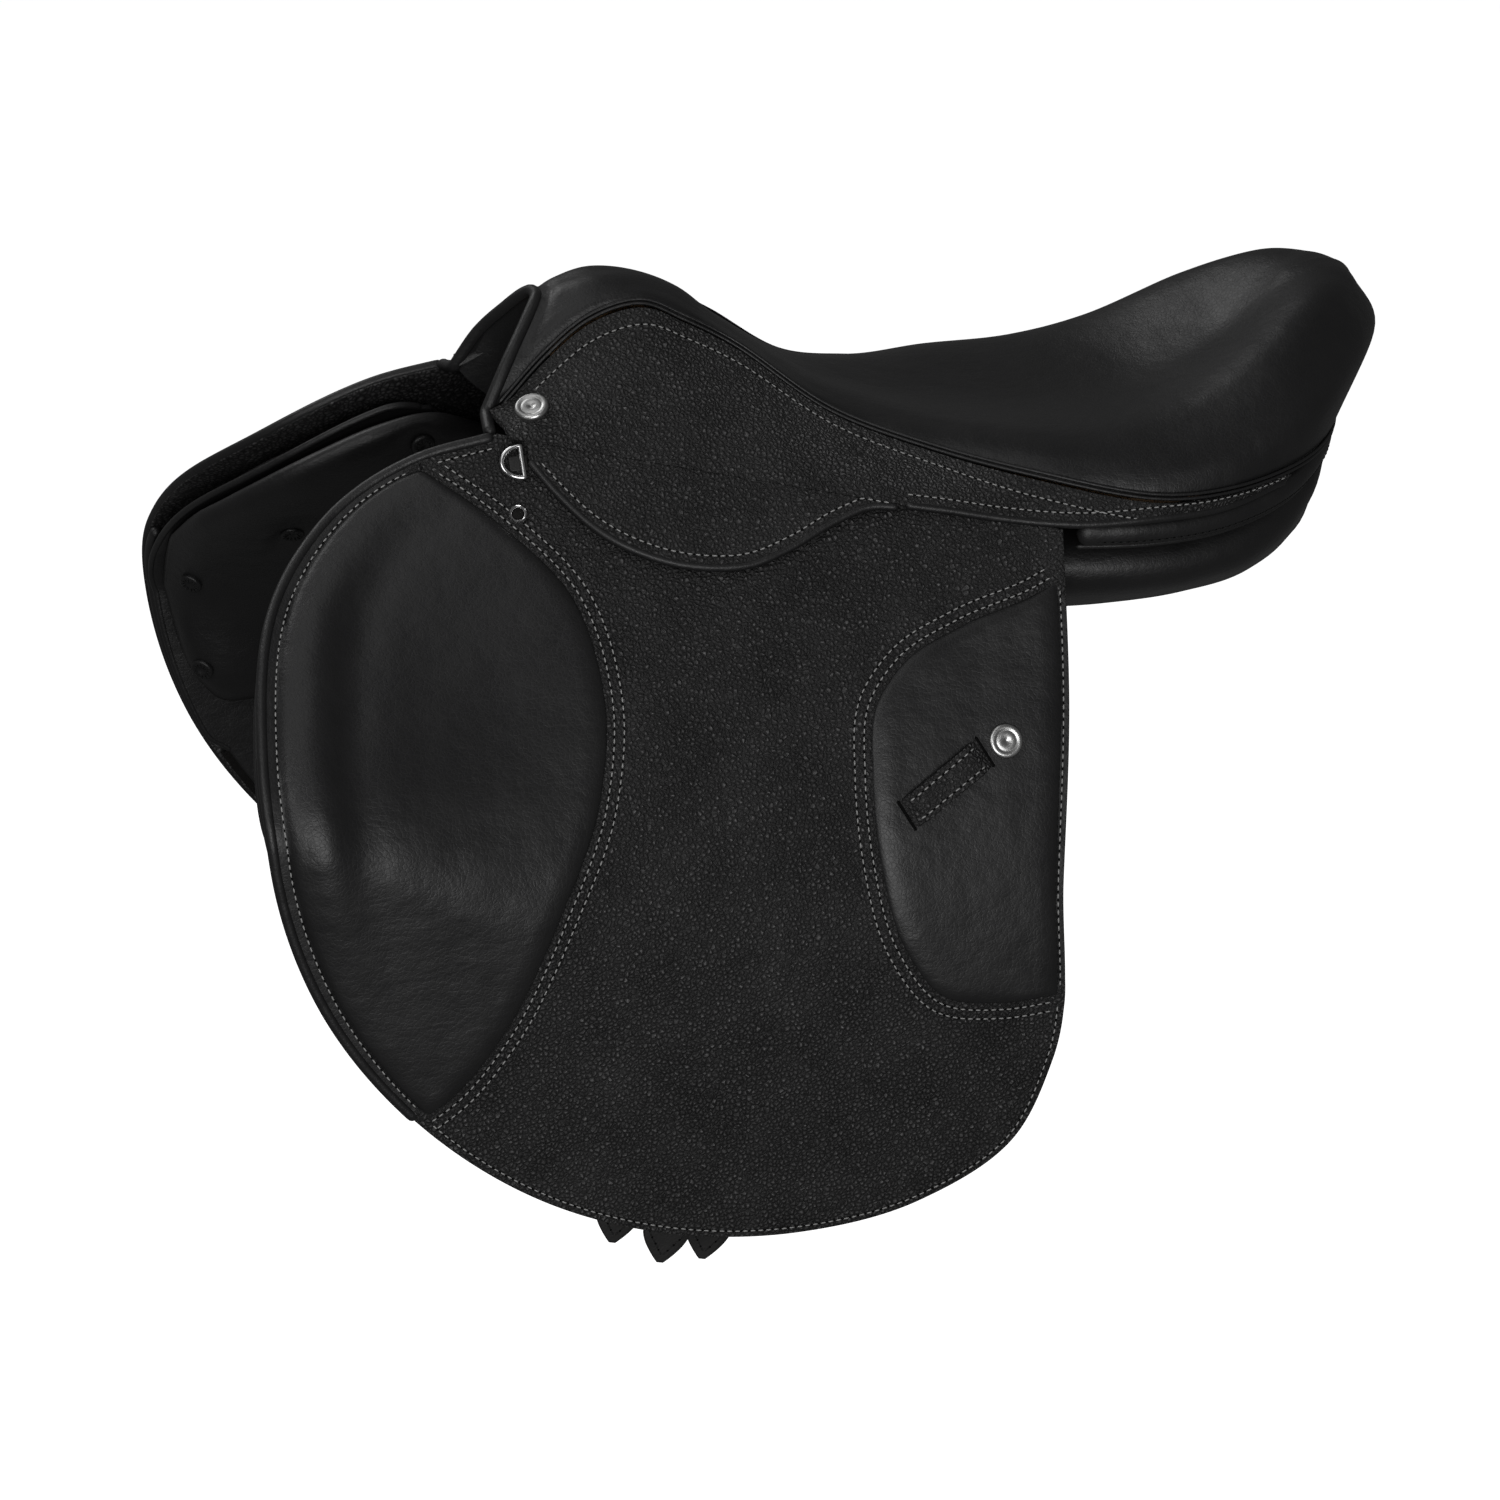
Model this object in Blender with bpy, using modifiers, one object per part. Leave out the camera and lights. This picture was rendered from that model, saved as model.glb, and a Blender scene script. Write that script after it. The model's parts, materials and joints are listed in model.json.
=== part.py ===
"""English close-contact jumping saddle with a 17.5 inch seat, in black leather.

Metres, +Z up. The pommel points to -X, the near (left) side is -Y, and the origin
is on the middle plane at the height where the panels bear on the horse's back.
Shapes are worked out for the off side (+Y); the near side is the same shape mirrored.
"""

import math

import bmesh
import bpy
import numpy as np
from mathutils import Matrix, Vector

# Driving dimensions.
GAP = 0.0003              # between pieces that touch
COVER_THICK = 0.0030      # seat leather with its backing
SKIRT_THICK = 0.0040
BAND_DEPTH = 0.0050        # the same leather measured straight across
FLAP_THICK = 0.0040
PATCH_THICK = 0.0030
SWEAT_THICK = 0.0030
BILLET_THICK = 0.0035
BILLET_WIDTH = 0.025
PIPING_RADIUS = 0.0025
BINDING_RADIUS = 0.0035
ROLL_RADIUS = 0.0060
NAIL_RADIUS = 0.0090

# The straight line on which the flap and the skirt lobe lift.
HINGE_X = (-0.216, 0.064)
HINGE_Y = (0.0707, 0.1300)
HINGE_Z = (0.1162, 0.0602)
SKIRT_PROUD = 0.0055      # skirt surface outside the flap's surface
FLAP_SPREAD = 0.206       # half width at the bottom of the flaps
LOBE_X = (-0.207, -0.020)

# Depths of the outer faces of layers under the flap's outer surface.
PATCH_DEPTH = -0.0035
BLOCK_DEPTH = 0.0050
BLOCK_THICK = 0.0110
OUTER_BILLET = 0.0054
INNER_BILLET = 0.0110
SWEAT_DEPTH = 0.0170
PANEL_DEPTH = 0.0232

# Depths under the seat's surface, straight down.
FOAM_DROP = 0.0050
FOAM_THICK = 0.0060
GIRTH_WEB_DROP = 0.0126
TREE_DROP = 0.0142
TREE_THICK = 0.0060
WEB_THICK = 0.0012
HEAD_PLATE_THICK = 0.0035
LINING_SINK = 0.0130

# Seat rails from the pommel's front edge to the back of the cantle: the middle line,
# the soft ridge, the fullest point of the wall, and the piped seam.
SEAT_MIDDLE = [(-0.179, 0, 0.172), (-0.172, 0, 0.176), (-0.153, 0, 0.180), (-0.130, 0, 0.177),
               (-0.108, 0, 0.167), (-0.086, 0, 0.149), (-0.042, 0, 0.119), (0.006, 0, 0.102),
               (0.052, 0, 0.094), (0.100, 0, 0.091), (0.145, 0, 0.097), (0.188, 0, 0.117),
               (0.212, 0, 0.136), (0.227, 0, 0.149), (0.234, 0, 0.153)]
SEAT_RIDGE = [(-0.190, 0.020, 0.160), (-0.176, 0.018, 0.170), (-0.156, 0.017, 0.177),
              (-0.132, 0.016, 0.175), (-0.110, 0.016, 0.165), (-0.086, 0.018, 0.147),
              (-0.042, 0.032, 0.118), (0.006, 0.054, 0.104), (0.054, 0.080, 0.099),
              (0.104, 0.094, 0.097), (0.150, 0.095, 0.105), (0.200, 0.080, 0.128),
              (0.238, 0.052, 0.145), (0.261, 0.026, 0.147), (0.268, 0, 0.147)]
SEAT_WALL = [(-0.203, 0.033, 0.143), (-0.183, 0.028, 0.159), (-0.160, 0.025, 0.171),
             (-0.134, 0.024, 0.173), (-0.112, 0.025, 0.163), (-0.085, 0.028, 0.145),
             (-0.041, 0.045, 0.115), (0.006, 0.070, 0.101), (0.056, 0.098, 0.094),
             (0.110, 0.114, 0.087), (0.158, 0.114, 0.088), (0.212, 0.096, 0.104),
             (0.250, 0.062, 0.119), (0.271, 0.030, 0.122), (0.276, 0, 0.122)]
SEAT_SEAM = [(-0.214, 0.040, 0.124), (-0.188, 0.032, 0.147), (-0.163, 0.028, 0.164),
             (-0.136, 0.027, 0.170), (-0.113, 0.028, 0.160), (-0.084, 0.032, 0.143),
             (-0.041, 0.052, 0.112), (0.006, 0.080, 0.096), (0.057, 0.108, 0.085),
             (0.113, 0.122, 0.073), (0.158, 0.118, 0.071), (0.203, 0.099, 0.075),
             (0.231, 0.072, 0.081), (0.245, 0.038, 0.088), (0.251, 0, 0.091)]
RAIL_T = (-0.6, 0.0, 0.6, 0.82, 1.0)
LAST_STATION = len(SEAT_MIDDLE) - 1
SEAM_STATIONS = np.linspace(0.1, LAST_STATION, 32)
BAND_LAST = 25             # seam stations that the skirt follows

# Tree: x, hole half width, half width, height of the outer edge.
TREE_STATIONS = [(-0.184, 0, 0.056, 0.106), (-0.165, 0, 0.066, 0.094), (-0.140, 0, 0.071, 0.088),
                 (-0.110, 0.014, 0.072, 0.084), (-0.080, 0.024, 0.070, 0.084),
                 (-0.040, 0.028, 0.072, 0.082), (0.000, 0.032, 0.080, 0.076),
                 (0.050, 0.038, 0.093, 0.070), (0.100, 0.040, 0.100, 0.065),
                 (0.145, 0.034, 0.098, 0.066), (0.175, 0.018, 0.090, 0.074),
                 (0.195, 0, 0.080, 0.084), (0.218, 0, 0.060, 0.100)]

# Outlines on the flap's surface in side view (x, z), the flap's from the front end of its
# hinge line.
FLAP_EDGE = [(-0.220, 0.1166), (-0.263, 0.108), (-0.317, 0.080), (-0.352, 0.045), (-0.366, 0.000),
             (-0.366, -0.044), (-0.345, -0.125), (-0.298, -0.196), (-0.225, -0.254),
             (-0.157, -0.279), (-0.098, -0.285), (-0.033, -0.275), (0.018, -0.245),
             (0.038, -0.203), (0.045, -0.106), (0.057, -0.015), (0.064, 0.0597)]
NOTCH = [(-0.084, 0.065), (-0.103, 0.059), (-0.129, 0.060), (-0.150, 0.065), (-0.173, 0.0760),
         (-0.186, 0.088)]
SWEAT_MIDDLE = (-0.150, -0.100)
SWEAT_SCALE = 0.955
SWEAT_TOP = [(0.050, 0.044), (-0.060, 0.046), (-0.195, 0.050), (-0.226, 0.098)]
BLOCK_OUTLINE = [(-0.283, 0.078), (-0.313, 0.062), (-0.338, 0.030), (-0.348, -0.020),
                 (-0.338, -0.078), (-0.318, -0.080), (-0.312, -0.020), (-0.296, 0.030), (-0.272, 0.060)]

# Lattice that every layer on the flap shares, in x and in drop below the hinge line.
LATTICE_X = np.linspace(-0.375, 0.075, 14)
LATTICE_DROP = np.linspace(-0.027, 0.405, 15)

KNEE_OUTLINE = [(-0.257, 0.101), (-0.226, 0.078), (-0.195, 0.045), (-0.187, 0.002),
                (-0.196, -0.041), (-0.223, -0.094), (-0.255, -0.155), (-0.279, -0.183),
                (-0.293, -0.190), (-0.338, -0.122), (-0.359, -0.044), (-0.359, 0.000),
                (-0.346, 0.042), (-0.313, 0.075)]
CALF_OUTLINE = [(0.054, 0.034), (0.004, 0.019), (-0.030, 0.004), (-0.047, -0.014),
                (-0.053, -0.045), (-0.053, -0.085), (-0.042, -0.132), (-0.021, -0.162),
                (0.009, -0.168), (0.036, -0.163), (0.041, -0.106), (0.051, -0.030)]

# Lower edge of the skirt: the free lobe in side view, then the fixed strip behind it.
LOBE_EDGE = [(-0.207, 0.104), (-0.195, 0.089), (-0.178, 0.073), (-0.150, 0.059), (-0.129, 0.054),
             (-0.103, 0.053), (-0.080, 0.059), (-0.055, 0.069), (-0.034, 0.0745), (-0.020, 0.0735)]
STRIP_EDGE = [(-0.020, 0.1122, 0.0775), (0.008, 0.116, 0.0725), (0.032, 0.119, 0.0675),
              (0.074, 0.1260, 0.0625), (0.112, 0.1280, 0.0625), (0.158, 0.119, 0.0625),
              (0.196, 0.103, 0.068)]

# Panel stations: x, front weight, top and bottom of the front lobe, thickness, then for the
# cushion: inner and outer top height, outer half width and bottom height.
PANEL_STATIONS = [
    (-0.361, 1, 0.006, -0.040, 0.010, 0, 0, 0, 0), (-0.354, 1, 0.026, -0.074, 0.020, 0, 0, 0, 0),
    (-0.340, 1, 0.046, -0.103, 0.026, 0, 0, 0, 0), (-0.316, 1, 0.069, -0.112, 0.028, 0, 0, 0, 0),
    (-0.290, 1, 0.085, -0.105, 0.028, 0, 0, 0, 0), (-0.260, 1, 0.097, -0.088, 0.028, 0, 0, 0, 0),
    (-0.230, 1, 0.099, -0.066, 0.028, 0, 0, 0, 0), (-0.205, 1, 0.086, -0.048, 0.028, 0, 0, 0, 0),
    (-0.182, 1, 0.073, -0.036, 0.028, 0, 0, 0, 0),
    (-0.155, 0.9, 0.061, -0.026, 0.028, 0.060, 0.055, 0.090, -0.004),
    (-0.120, 0.5, 0.061, -0.016, 0.028, 0.064, 0.055, 0.092, -0.003),
    (-0.085, 0, 0, 0, 0, 0.078, 0.056, 0.094, -0.001), (-0.040, 0, 0, 0, 0, 0.082, 0.056, 0.097, 0),
    (0.006, 0, 0, 0, 0, 0.072, 0.054, 0.100, 0), (0.054, 0, 0, 0, 0, 0.064, 0.046, 0.106, 0.001),
    (0.104, 0, 0, 0, 0, 0.060, 0.043, 0.113, 0.001), (0.150, 0, 0, 0, 0, 0.064, 0.044, 0.111, 0.003),
    (0.190, 0, 0, 0, 0, 0.072, 0.052, 0.098, 0.009), (0.215, 0, 0, 0, 0, 0.076, 0.060, 0.080, 0.020),
    (0.231, 0, 0, 0, 0, 0.074, 0.066, 0.062, 0.034), (0.238, 0, 0, 0, 0, 0.068, 0.064, 0.050, 0.048)]
PANEL_INNER_Y = 0.0345
# Tufts: x, z, and how far they stand off the panel's inner face.
TUFTS = ((-0.240, 0.080, 0.0020), (-0.303, 0.016, 0.0020), (-0.333, -0.030, 0.0044),
         (-0.332, -0.071, 0.0020))

# Straps for the girth: x of the top end, x and z of the tip, depth under the flap.
BILLETS = {
    "front_billet": (-0.112, -0.196, -0.284, INNER_BILLET),
    "middle_billet": (-0.088, -0.172, -0.296, OUTER_BILLET),
    "rear_billet": (-0.064, -0.148, -0.300, INNER_BILLET),
}
BILLET_TOP = 0.050

# Stirrup bar: its middle lies this far below the hinge line, with a gap for the leather.
BAR_X = (-0.166, -0.104)
BAR_DROP = 0.024
BAR_THICK = 0.0060
BAR_TALL = 0.0110
BAR_GAP = 0.0085
PLATE_Y = 0.0755           # inner face of the back plate at the bar's middle
PLATE_THICK = 0.0035

# Studs and small fittings, as places on the flap (x, z).
NAIL_PLACE = (-0.2005, 0.1262)
BADGE_PLACE = (0.019, -0.034)
STUD_PLACE = (-0.2165, 0.082)
DEE_PLACE = (-0.2105, 0.1035)
DEE_ROD = 0.0013
DEE_HEIGHT = 0.0170
DEE_WIDTH = 0.0105
DEE_STANDOFF = 0.0036
KEEPER = ((-0.037, -0.065), (0.007, -0.040))
KEEPER_WIDTH = 0.014
KEEPER_RISE = 0.0030
KEEPER_THICK = 0.0018

MIRROR = Matrix.Diagonal((1, -1, 1, 1))
SEAT_ROWS = 25
SEAT_COLUMNS = 7


# Curves and surfaces.

def smooth(at, knots, values):
    """Curve through the values at the knots, with slopes from the neighbouring values."""
    knots = np.asarray(knots, float)
    values = np.asarray(values, float)
    at = np.clip(np.asarray(at, float), knots[0], knots[-1])
    slopes = np.gradient(values, knots, axis=0)
    index = np.clip(np.searchsorted(knots, at, side="right") - 1, 0, len(knots) - 2)
    step = knots[index + 1] - knots[index]
    t = (at - knots[index]) / step
    if values.ndim > 1:
        t = t[..., None]
        step = step[..., None]
    start = (1 + 2 * t) * (1 - t) ** 2 * values[index] + t * (1 - t) ** 2 * step * slopes[index]
    end = t * t * (3 - 2 * t) * values[index + 1] + t * t * (t - 1) * step * slopes[index + 1]
    return start + end


def through(points, count):
    """Count points along a smooth curve through the given points."""
    points = np.asarray(points, float)
    lengths = np.linalg.norm(np.diff(points, axis=0), axis=1)
    knots = np.concatenate([[0], np.cumsum(lengths)])
    return smooth(np.linspace(0, knots[-1], count), knots, points)


def hinge_y(x):
    return np.interp(x, HINGE_X, HINGE_Y) + extended(x, HINGE_Y)


def hinge_z(x):
    return np.interp(x, HINGE_X, HINGE_Z) + extended(x, HINGE_Z)


def extended(x, ends):
    """What the hinge line's slope adds beyond its two ends."""
    slope = (ends[1] - ends[0]) / (HINGE_X[1] - HINGE_X[0])
    return slope * (x - np.clip(x, *HINGE_X))


def flap_y(x, z):
    """Half width of the flap's outer surface: a quarter sine below the hinge line, which
    turns to a slow start and a quick end towards the front."""
    x = np.asarray(x, float)
    drop = hinge_z(x) - z
    front = np.clip((-0.150 - x) / 0.217, 0, 1)
    front = front * front * (3 - 2 * front)
    t = np.clip(drop / (0.250 - 0.060 * front), -1, 1)
    rise = (1 - front) * np.sin(math.pi / 2 * t) + front * t * np.abs(t) * (3 - 2 * np.abs(t))
    top = hinge_y(x) - SKIRT_PROUD
    return top + (FLAP_SPREAD - top) * rise


def flap_normal(x, z):
    step = 0.002
    dy_dx = (flap_y(x + step, z) - flap_y(x - step, z)) / (2 * step)
    dy_dz = (flap_y(x, z + step) - flap_y(x, z - step)) / (2 * step)
    normal = np.stack([-dy_dx, np.ones_like(dy_dx), -dy_dz], -1)
    return normal / np.linalg.norm(normal, axis=-1, keepdims=True)


def under_flap(x, z, depth):
    """Point on the flap's outer surface, moved inwards along the normal."""
    x = np.asarray(x, float)
    return np.stack([x, flap_y(x, z), z], -1) - depth * flap_normal(x, z)


def seat_point(s, t):
    """Seat surface: s runs along the rails in stations, t from the middle line to the seam."""
    stations = np.arange(len(SEAT_MIDDLE))
    rails = [smooth(s, stations, rail) for rail in (SEAT_MIDDLE, SEAT_RIDGE, SEAT_WALL, SEAT_SEAM)]
    mirrored_ridge = rails[1] * np.array([1, -1, 1])
    knots = np.array(RAIL_T)
    values = np.stack([mirrored_ridge, *rails])
    return smooth(t, knots, values)


def seat_grid(s_values, t_values, drop=0.0):
    grid = np.array([seat_point(s, np.asarray(t_values, float)) for s in s_values])
    grid[..., 2] -= drop
    return grid


def seam_limit(s, margin):
    """The largest t that keeps a margin from the seam."""
    t = np.linspace(0.3, 1, 141)
    line = seat_point(s, t)
    seam = seat_grid(np.linspace(max(s - 2, 0), min(s + 2, LAST_STATION), 160), [1.0])[:, 0]
    apart = np.linalg.norm(line[:, None] - seam[None], axis=2).min(1)
    return t[apart > margin].max()


def tree_point(x, share):
    """Tree surface at x: share runs from 0 on the middle plane to 1 at the outer edge."""
    stations = np.array(TREE_STATIONS)
    half_width, edge_z = smooth(x, stations[:, 0], stations[:, 2:]).T
    middle = np.array(SEAT_MIDDLE)
    top = np.interp(x, middle[:, 0], middle[:, 2]) - TREE_DROP
    y = share * half_width
    z = top + (edge_z - top) * np.abs(share) ** 1.8
    return np.stack([np.broadcast_to(x, y.shape), y, z], -1)


def sunk(grid, depth):
    """The grid moved against its normals, which point to +Z or outwards."""
    along = np.gradient(grid, axis=0)
    across = np.gradient(grid, axis=1)
    normals = np.cross(along, across)
    normals /= np.linalg.norm(normals, axis=2, keepdims=True)
    return grid - depth * normals


# Objects.

def collection(name):
    made = bpy.data.collections.new(name)
    bpy.context.scene.collection.children.link(made)
    return made


def material(name, colour, roughness, metallic=0.0):
    made = bpy.data.materials.new(name)
    made.use_nodes = True
    shader = made.node_tree.nodes["Principled BSDF"]
    shader.inputs["Base Color"].default_value = (*colour, 1)
    shader.inputs["Roughness"].default_value = roughness
    shader.inputs["Metallic"].default_value = metallic
    return made


def add_object(name, mesh, finish):
    made = bpy.data.objects.new(name, mesh)
    PARTS.objects.link(made)
    made.data.materials.append(finish)
    return made


def mesh_from(points, faces, side=1):
    """Mesh of the points, mirrored to the near side where side is -1."""
    points = np.asarray(points, float).reshape(-1, 3) * np.array([1, side, 1])
    mesh = bpy.data.meshes.new("mesh")
    mesh.from_pydata(points.tolist(), [], faces)
    mesh.update()
    return mesh


def grid_faces(rows, columns, keep=None):
    faces = []
    for i in range(rows - 1):
        for j in range(columns - 1):
            if keep is None or keep(i, j):
                a = i * columns + j
                faces.append((a, a + columns, a + columns + 1, a + 1))
    return faces


def outward(mesh, side):
    """Turn an open side sheet so that its faces look away from the middle plane."""
    facing = sum(face.normal.y * face.area for face in mesh.polygons)
    if facing * side < 0:
        mesh.flip_normals()
    return mesh


def thicken(made, thickness, offset=-1):
    solid = made.modifiers.new("thickness", "SOLIDIFY")
    solid.thickness = thickness
    solid.offset = offset
    solid.use_even_offset = True
    return made


def mirror(made):
    both = made.modifiers.new("both_sides", "MIRROR")
    both.use_axis = (False, True, False)
    both.merge_threshold = 0.0001
    return made


def side_sheet(name, grid, side, thickness, finish):
    rows, columns = grid.shape[:2]
    mesh = outward(mesh_from(grid, grid_faces(rows, columns), side), side)
    return thicken(add_object(name, mesh, finish), thickness)


def lattice_slab(outline, depth, thickness):
    """Closed slab of the shared lattice that covers the outline, with parallel faces."""
    low, high = outline.min(0), outline.max(0)
    columns = [i for i in range(len(LATTICE_X) - 1)
               if LATTICE_X[i + 1] > low[0] and LATTICE_X[i] < high[0]]
    x_values = LATTICE_X[columns[0]:columns[-1] + 2]
    drops = hinge_z(x_values[[0, -1]])
    top_drop, low_drop = drops.min() - high[1], drops.max() - low[1]
    rows = [i for i in range(len(LATTICE_DROP) - 1)
            if LATTICE_DROP[i + 1] > top_drop and LATTICE_DROP[i] < low_drop]
    drop = LATTICE_DROP[rows[0]:rows[-1] + 2]
    x, down = np.meshgrid(x_values, drop, indexing="ij")
    z = hinge_z(x) - down
    outer = under_flap(x, z, depth)
    inner = under_flap(x, z, depth + thickness)
    work = bmesh.new()
    skins = []
    for grid in (outer, inner):
        skins.append([work.verts.new(point) for point in grid.reshape(-1, 3)])
        for face in grid_faces(*x.shape):
            corners = [skins[-1][i] for i in face]
            work.faces.new(corners[:3])
            work.faces.new((corners[0], corners[2], corners[3]))
    wide, tall = x.shape
    rim = [i * tall for i in range(wide)] + list(range((wide - 1) * tall + 1, wide * tall))
    rim += [i * tall + tall - 1 for i in range(wide - 2, -1, -1)] + list(range(tall - 2, 0, -1))
    for a, b in zip(rim, rim[1:] + rim[:1]):
        work.faces.new((skins[0][a], skins[0][b], skins[1][b], skins[1][a]))
    bmesh.ops.recalc_face_normals(work, faces=work.faces)
    mesh = bpy.data.meshes.new("slab")
    work.to_mesh(mesh)
    work.free()
    return mesh


def outline_prism(outline):
    """The side-view outline as a solid across the whole off side."""
    work = bmesh.new()
    corners = [work.verts.new((x, 0.01, z)) for x, z in outline]
    face = work.faces.new(corners)
    moved = bmesh.ops.extrude_face_region(work, geom=[face])["geom"]
    moved = [piece for piece in moved if isinstance(piece, bmesh.types.BMVert)]
    bmesh.ops.translate(work, verts=moved, vec=(0, 0.24, 0))
    bmesh.ops.recalc_face_normals(work, faces=work.faces)
    mesh = bpy.data.meshes.new("outline")
    work.to_mesh(mesh)
    work.free()
    made = bpy.data.objects.new("outline", mesh)
    CUTTERS.objects.link(made)
    made.hide_render = True
    made.display_type = "WIRE"
    return made


def layer(part, outline, depth, thickness, finish):
    """Layer on the flap's surface, cut to its outline, as one node for each side."""
    outline = np.asarray(outline, float)
    blank = bpy.data.objects.new(part, lattice_slab(outline, depth, thickness))
    PARTS.objects.link(blank)
    cut = blank.modifiers.new("outline", "BOOLEAN")
    cut.operation = "INTERSECT"
    cut.object = outline_prism(outline)
    bpy.context.view_layer.update()
    shape = blank.evaluated_get(bpy.context.evaluated_depsgraph_get())
    mesh = bpy.data.meshes.new_from_object(shape)
    bpy.data.objects.remove(blank)
    near = mesh.copy()
    near.transform(MIRROR)
    near.flip_normals()
    add_object("off_" + part, mesh, finish)
    add_object("near_" + part, near, finish)


def loft(name, rings, side, finish):
    """Closed solid through rings of equal point counts, with a fan on each end."""
    rings = np.asarray(rings, float)
    count, size = rings.shape[:2]
    points = np.concatenate([rings.reshape(-1, 3), rings[:1].mean(1), rings[-1:].mean(1)])
    faces = []
    for i in range(count - 1):
        for j in range(size):
            a = i * size + j
            b = i * size + (j + 1) % size
            faces.append((a, b, b + size, a + size))
    for j in range(size):
        k = (j + 1) % size
        faces.append((k, j, count * size))
        faces.append(((count - 1) * size + j, (count - 1) * size + k, count * size + 1))
    mesh = mesh_from(points, faces, side)
    recalculate(mesh)
    return add_object(name, mesh, finish)


def recalculate(mesh):
    work = bmesh.new()
    work.from_mesh(mesh)
    bmesh.ops.recalc_face_normals(work, faces=work.faces)
    work.to_mesh(mesh)
    work.free()


def slab(name, grid, step, finish, side=1):
    """Solid between a grid and the same grid moved by a step."""
    rows, columns = grid.shape[:2]
    work = bmesh.new()
    work.from_mesh(mesh_from(grid, grid_faces(rows, columns), side))
    moved = bmesh.ops.extrude_face_region(work, geom=work.faces[:])["geom"]
    moved = [piece for piece in moved if isinstance(piece, bmesh.types.BMVert)]
    bmesh.ops.translate(work, verts=moved, vec=(step[0], step[1] * side, step[2]))
    bmesh.ops.recalc_face_normals(work, faces=work.faces)
    mesh = bpy.data.meshes.new(name)
    work.to_mesh(mesh)
    work.free()
    return add_object(name, mesh, finish)


def tube(name, points, radius, finish, closed=False, resolution=2):
    curve = bpy.data.curves.new(name, "CURVE")
    curve.dimensions = "3D"
    spline = curve.splines.new("POLY")
    spline.points.add(len(points) - 1)
    for point, place in zip(spline.points, points):
        point.co = (*place, 1)
    spline.use_cyclic_u = closed
    curve.bevel_depth = radius
    curve.bevel_resolution = resolution
    curve.use_fill_caps = not closed
    return add_object(name, curve, finish)


def button(name, place, normal, radius, height, finish, sides=20):
    """Round stud standing on a place, with a turned edge."""
    work = bmesh.new()
    bmesh.ops.create_cone(work, cap_ends=True, segments=sides, radius1=radius, radius2=radius,
                          depth=height)
    mesh = bpy.data.meshes.new(name)
    work.to_mesh(mesh)
    work.free()
    made = add_object(name, mesh, finish)
    made.rotation_mode = "QUATERNION"
    made.rotation_quaternion = Vector(normal).to_track_quat("Z", "Y")
    made.location = Vector(place) + Vector(normal) * (height / 2)
    edge = made.modifiers.new("edge", "BEVEL")
    edge.width = height * 0.3
    edge.segments = 2
    edge.limit_method = "ANGLE"
    return made


def box(name, size, place, finish, turn=0.0):
    bpy.ops.mesh.primitive_cube_add(size=1)
    made = bpy.context.object
    made.name = name
    made.data.name = name
    for owner in list(made.users_collection):
        owner.objects.unlink(made)
    PARTS.objects.link(made)
    made.data.transform(Matrix.Diagonal((*size, 1)))
    made.location = place
    made.rotation_euler.z = turn
    made.data.materials.append(finish)
    return made


# Seat.

def build_seat_cover():
    rows = []
    for s in np.linspace(0, LAST_STATION, SEAT_ROWS):
        t_end = seam_limit(s, PIPING_RADIUS + 0.0009)
        rows.append(seat_point(s, np.linspace(0, t_end, SEAT_COLUMNS)))
    grid = np.array(rows)
    mesh = mesh_from(grid, grid_faces(SEAT_ROWS, SEAT_COLUMNS))
    if sum(face.normal.z for face in mesh.polygons) < 0:
        mesh.flip_normals()
    thicken(mirror(add_object("seat_cover", mesh, SMOOTH)), COVER_THICK)


def build_piping():
    seam = seat_grid(SEAM_STATIONS, [1.0])[:, 0]
    other = seam[-2::-1] * np.array([1, -1, 1])
    tube("seat_piping", np.concatenate([seam, other]), PIPING_RADIUS, SMOOTH, resolution=1)


def build_seat_foam():
    s_values = np.linspace(0.8, 11.8, 18)
    grid = seat_grid(s_values, np.linspace(-0.46, 0.46, 7), FOAM_DROP)
    slab("seat_foam", grid, (0, 0, -FOAM_THICK), FOAM)


def build_girth_webs():
    for name, start in (("front_girth_web", 5.7), ("rear_girth_web", 7.3)):
        grid = seat_grid([start, start + 0.5, start + 1.0], np.linspace(-0.45, 0.45, 7), GIRTH_WEB_DROP)
        slab(name, grid, (0, 0, -WEB_THICK), WEBBING)


def build_seat_web():
    x_values = np.linspace(-0.098, 0.172, 13)
    middle = np.array(SEAT_MIDDLE)
    z_values = smooth(x_values, middle[:, 0], middle[:, 2]) - TREE_DROP - 0.0006
    strip = [[(x, y, z) for y in (-0.012, 0, 0.012)] for x, z in zip(x_values, z_values)]
    slab("seat_web", np.array(strip), (0, 0, -WEB_THICK), WEBBING)


def build_tree():
    """Arched frame from head to cantle with a long opening that the webbing spans."""
    stations = np.array(TREE_STATIONS)
    rows = []
    for x in np.linspace(stations[0, 0], stations[-1, 0], 25):
        hole = np.interp(x, stations[:, 0], stations[:, 1])
        half_width = smooth(x, stations[:, 0], stations[:, 2])
        rows.append(tree_point(x, np.linspace(hole / half_width, 1, 6)))
    grid = np.array(rows)
    mesh = mesh_from(grid, grid_faces(*grid.shape[:2]))
    if sum(face.normal.z for face in mesh.polygons) < 0:
        mesh.flip_normals()
    thicken(mirror(add_object("tree", mesh, TREE)), TREE_THICK)


def arch_grid(x_values, reach):
    return np.array([tree_point(x, np.linspace(-limit, limit, 11)) for x, limit in zip(x_values, reach)])


def build_head_plate():
    x_values = np.linspace(-0.180, -0.160, 3)
    grid = sunk(arch_grid(x_values, [1.15] * 3), TREE_THICK + 0.0012)
    mesh = mesh_from(grid, grid_faces(*grid.shape[:2]))
    if sum(face.normal.z for face in mesh.polygons) < 0:
        mesh.flip_normals()
    thicken(add_object("head_plate", mesh, STEEL), HEAD_PLATE_THICK)


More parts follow.
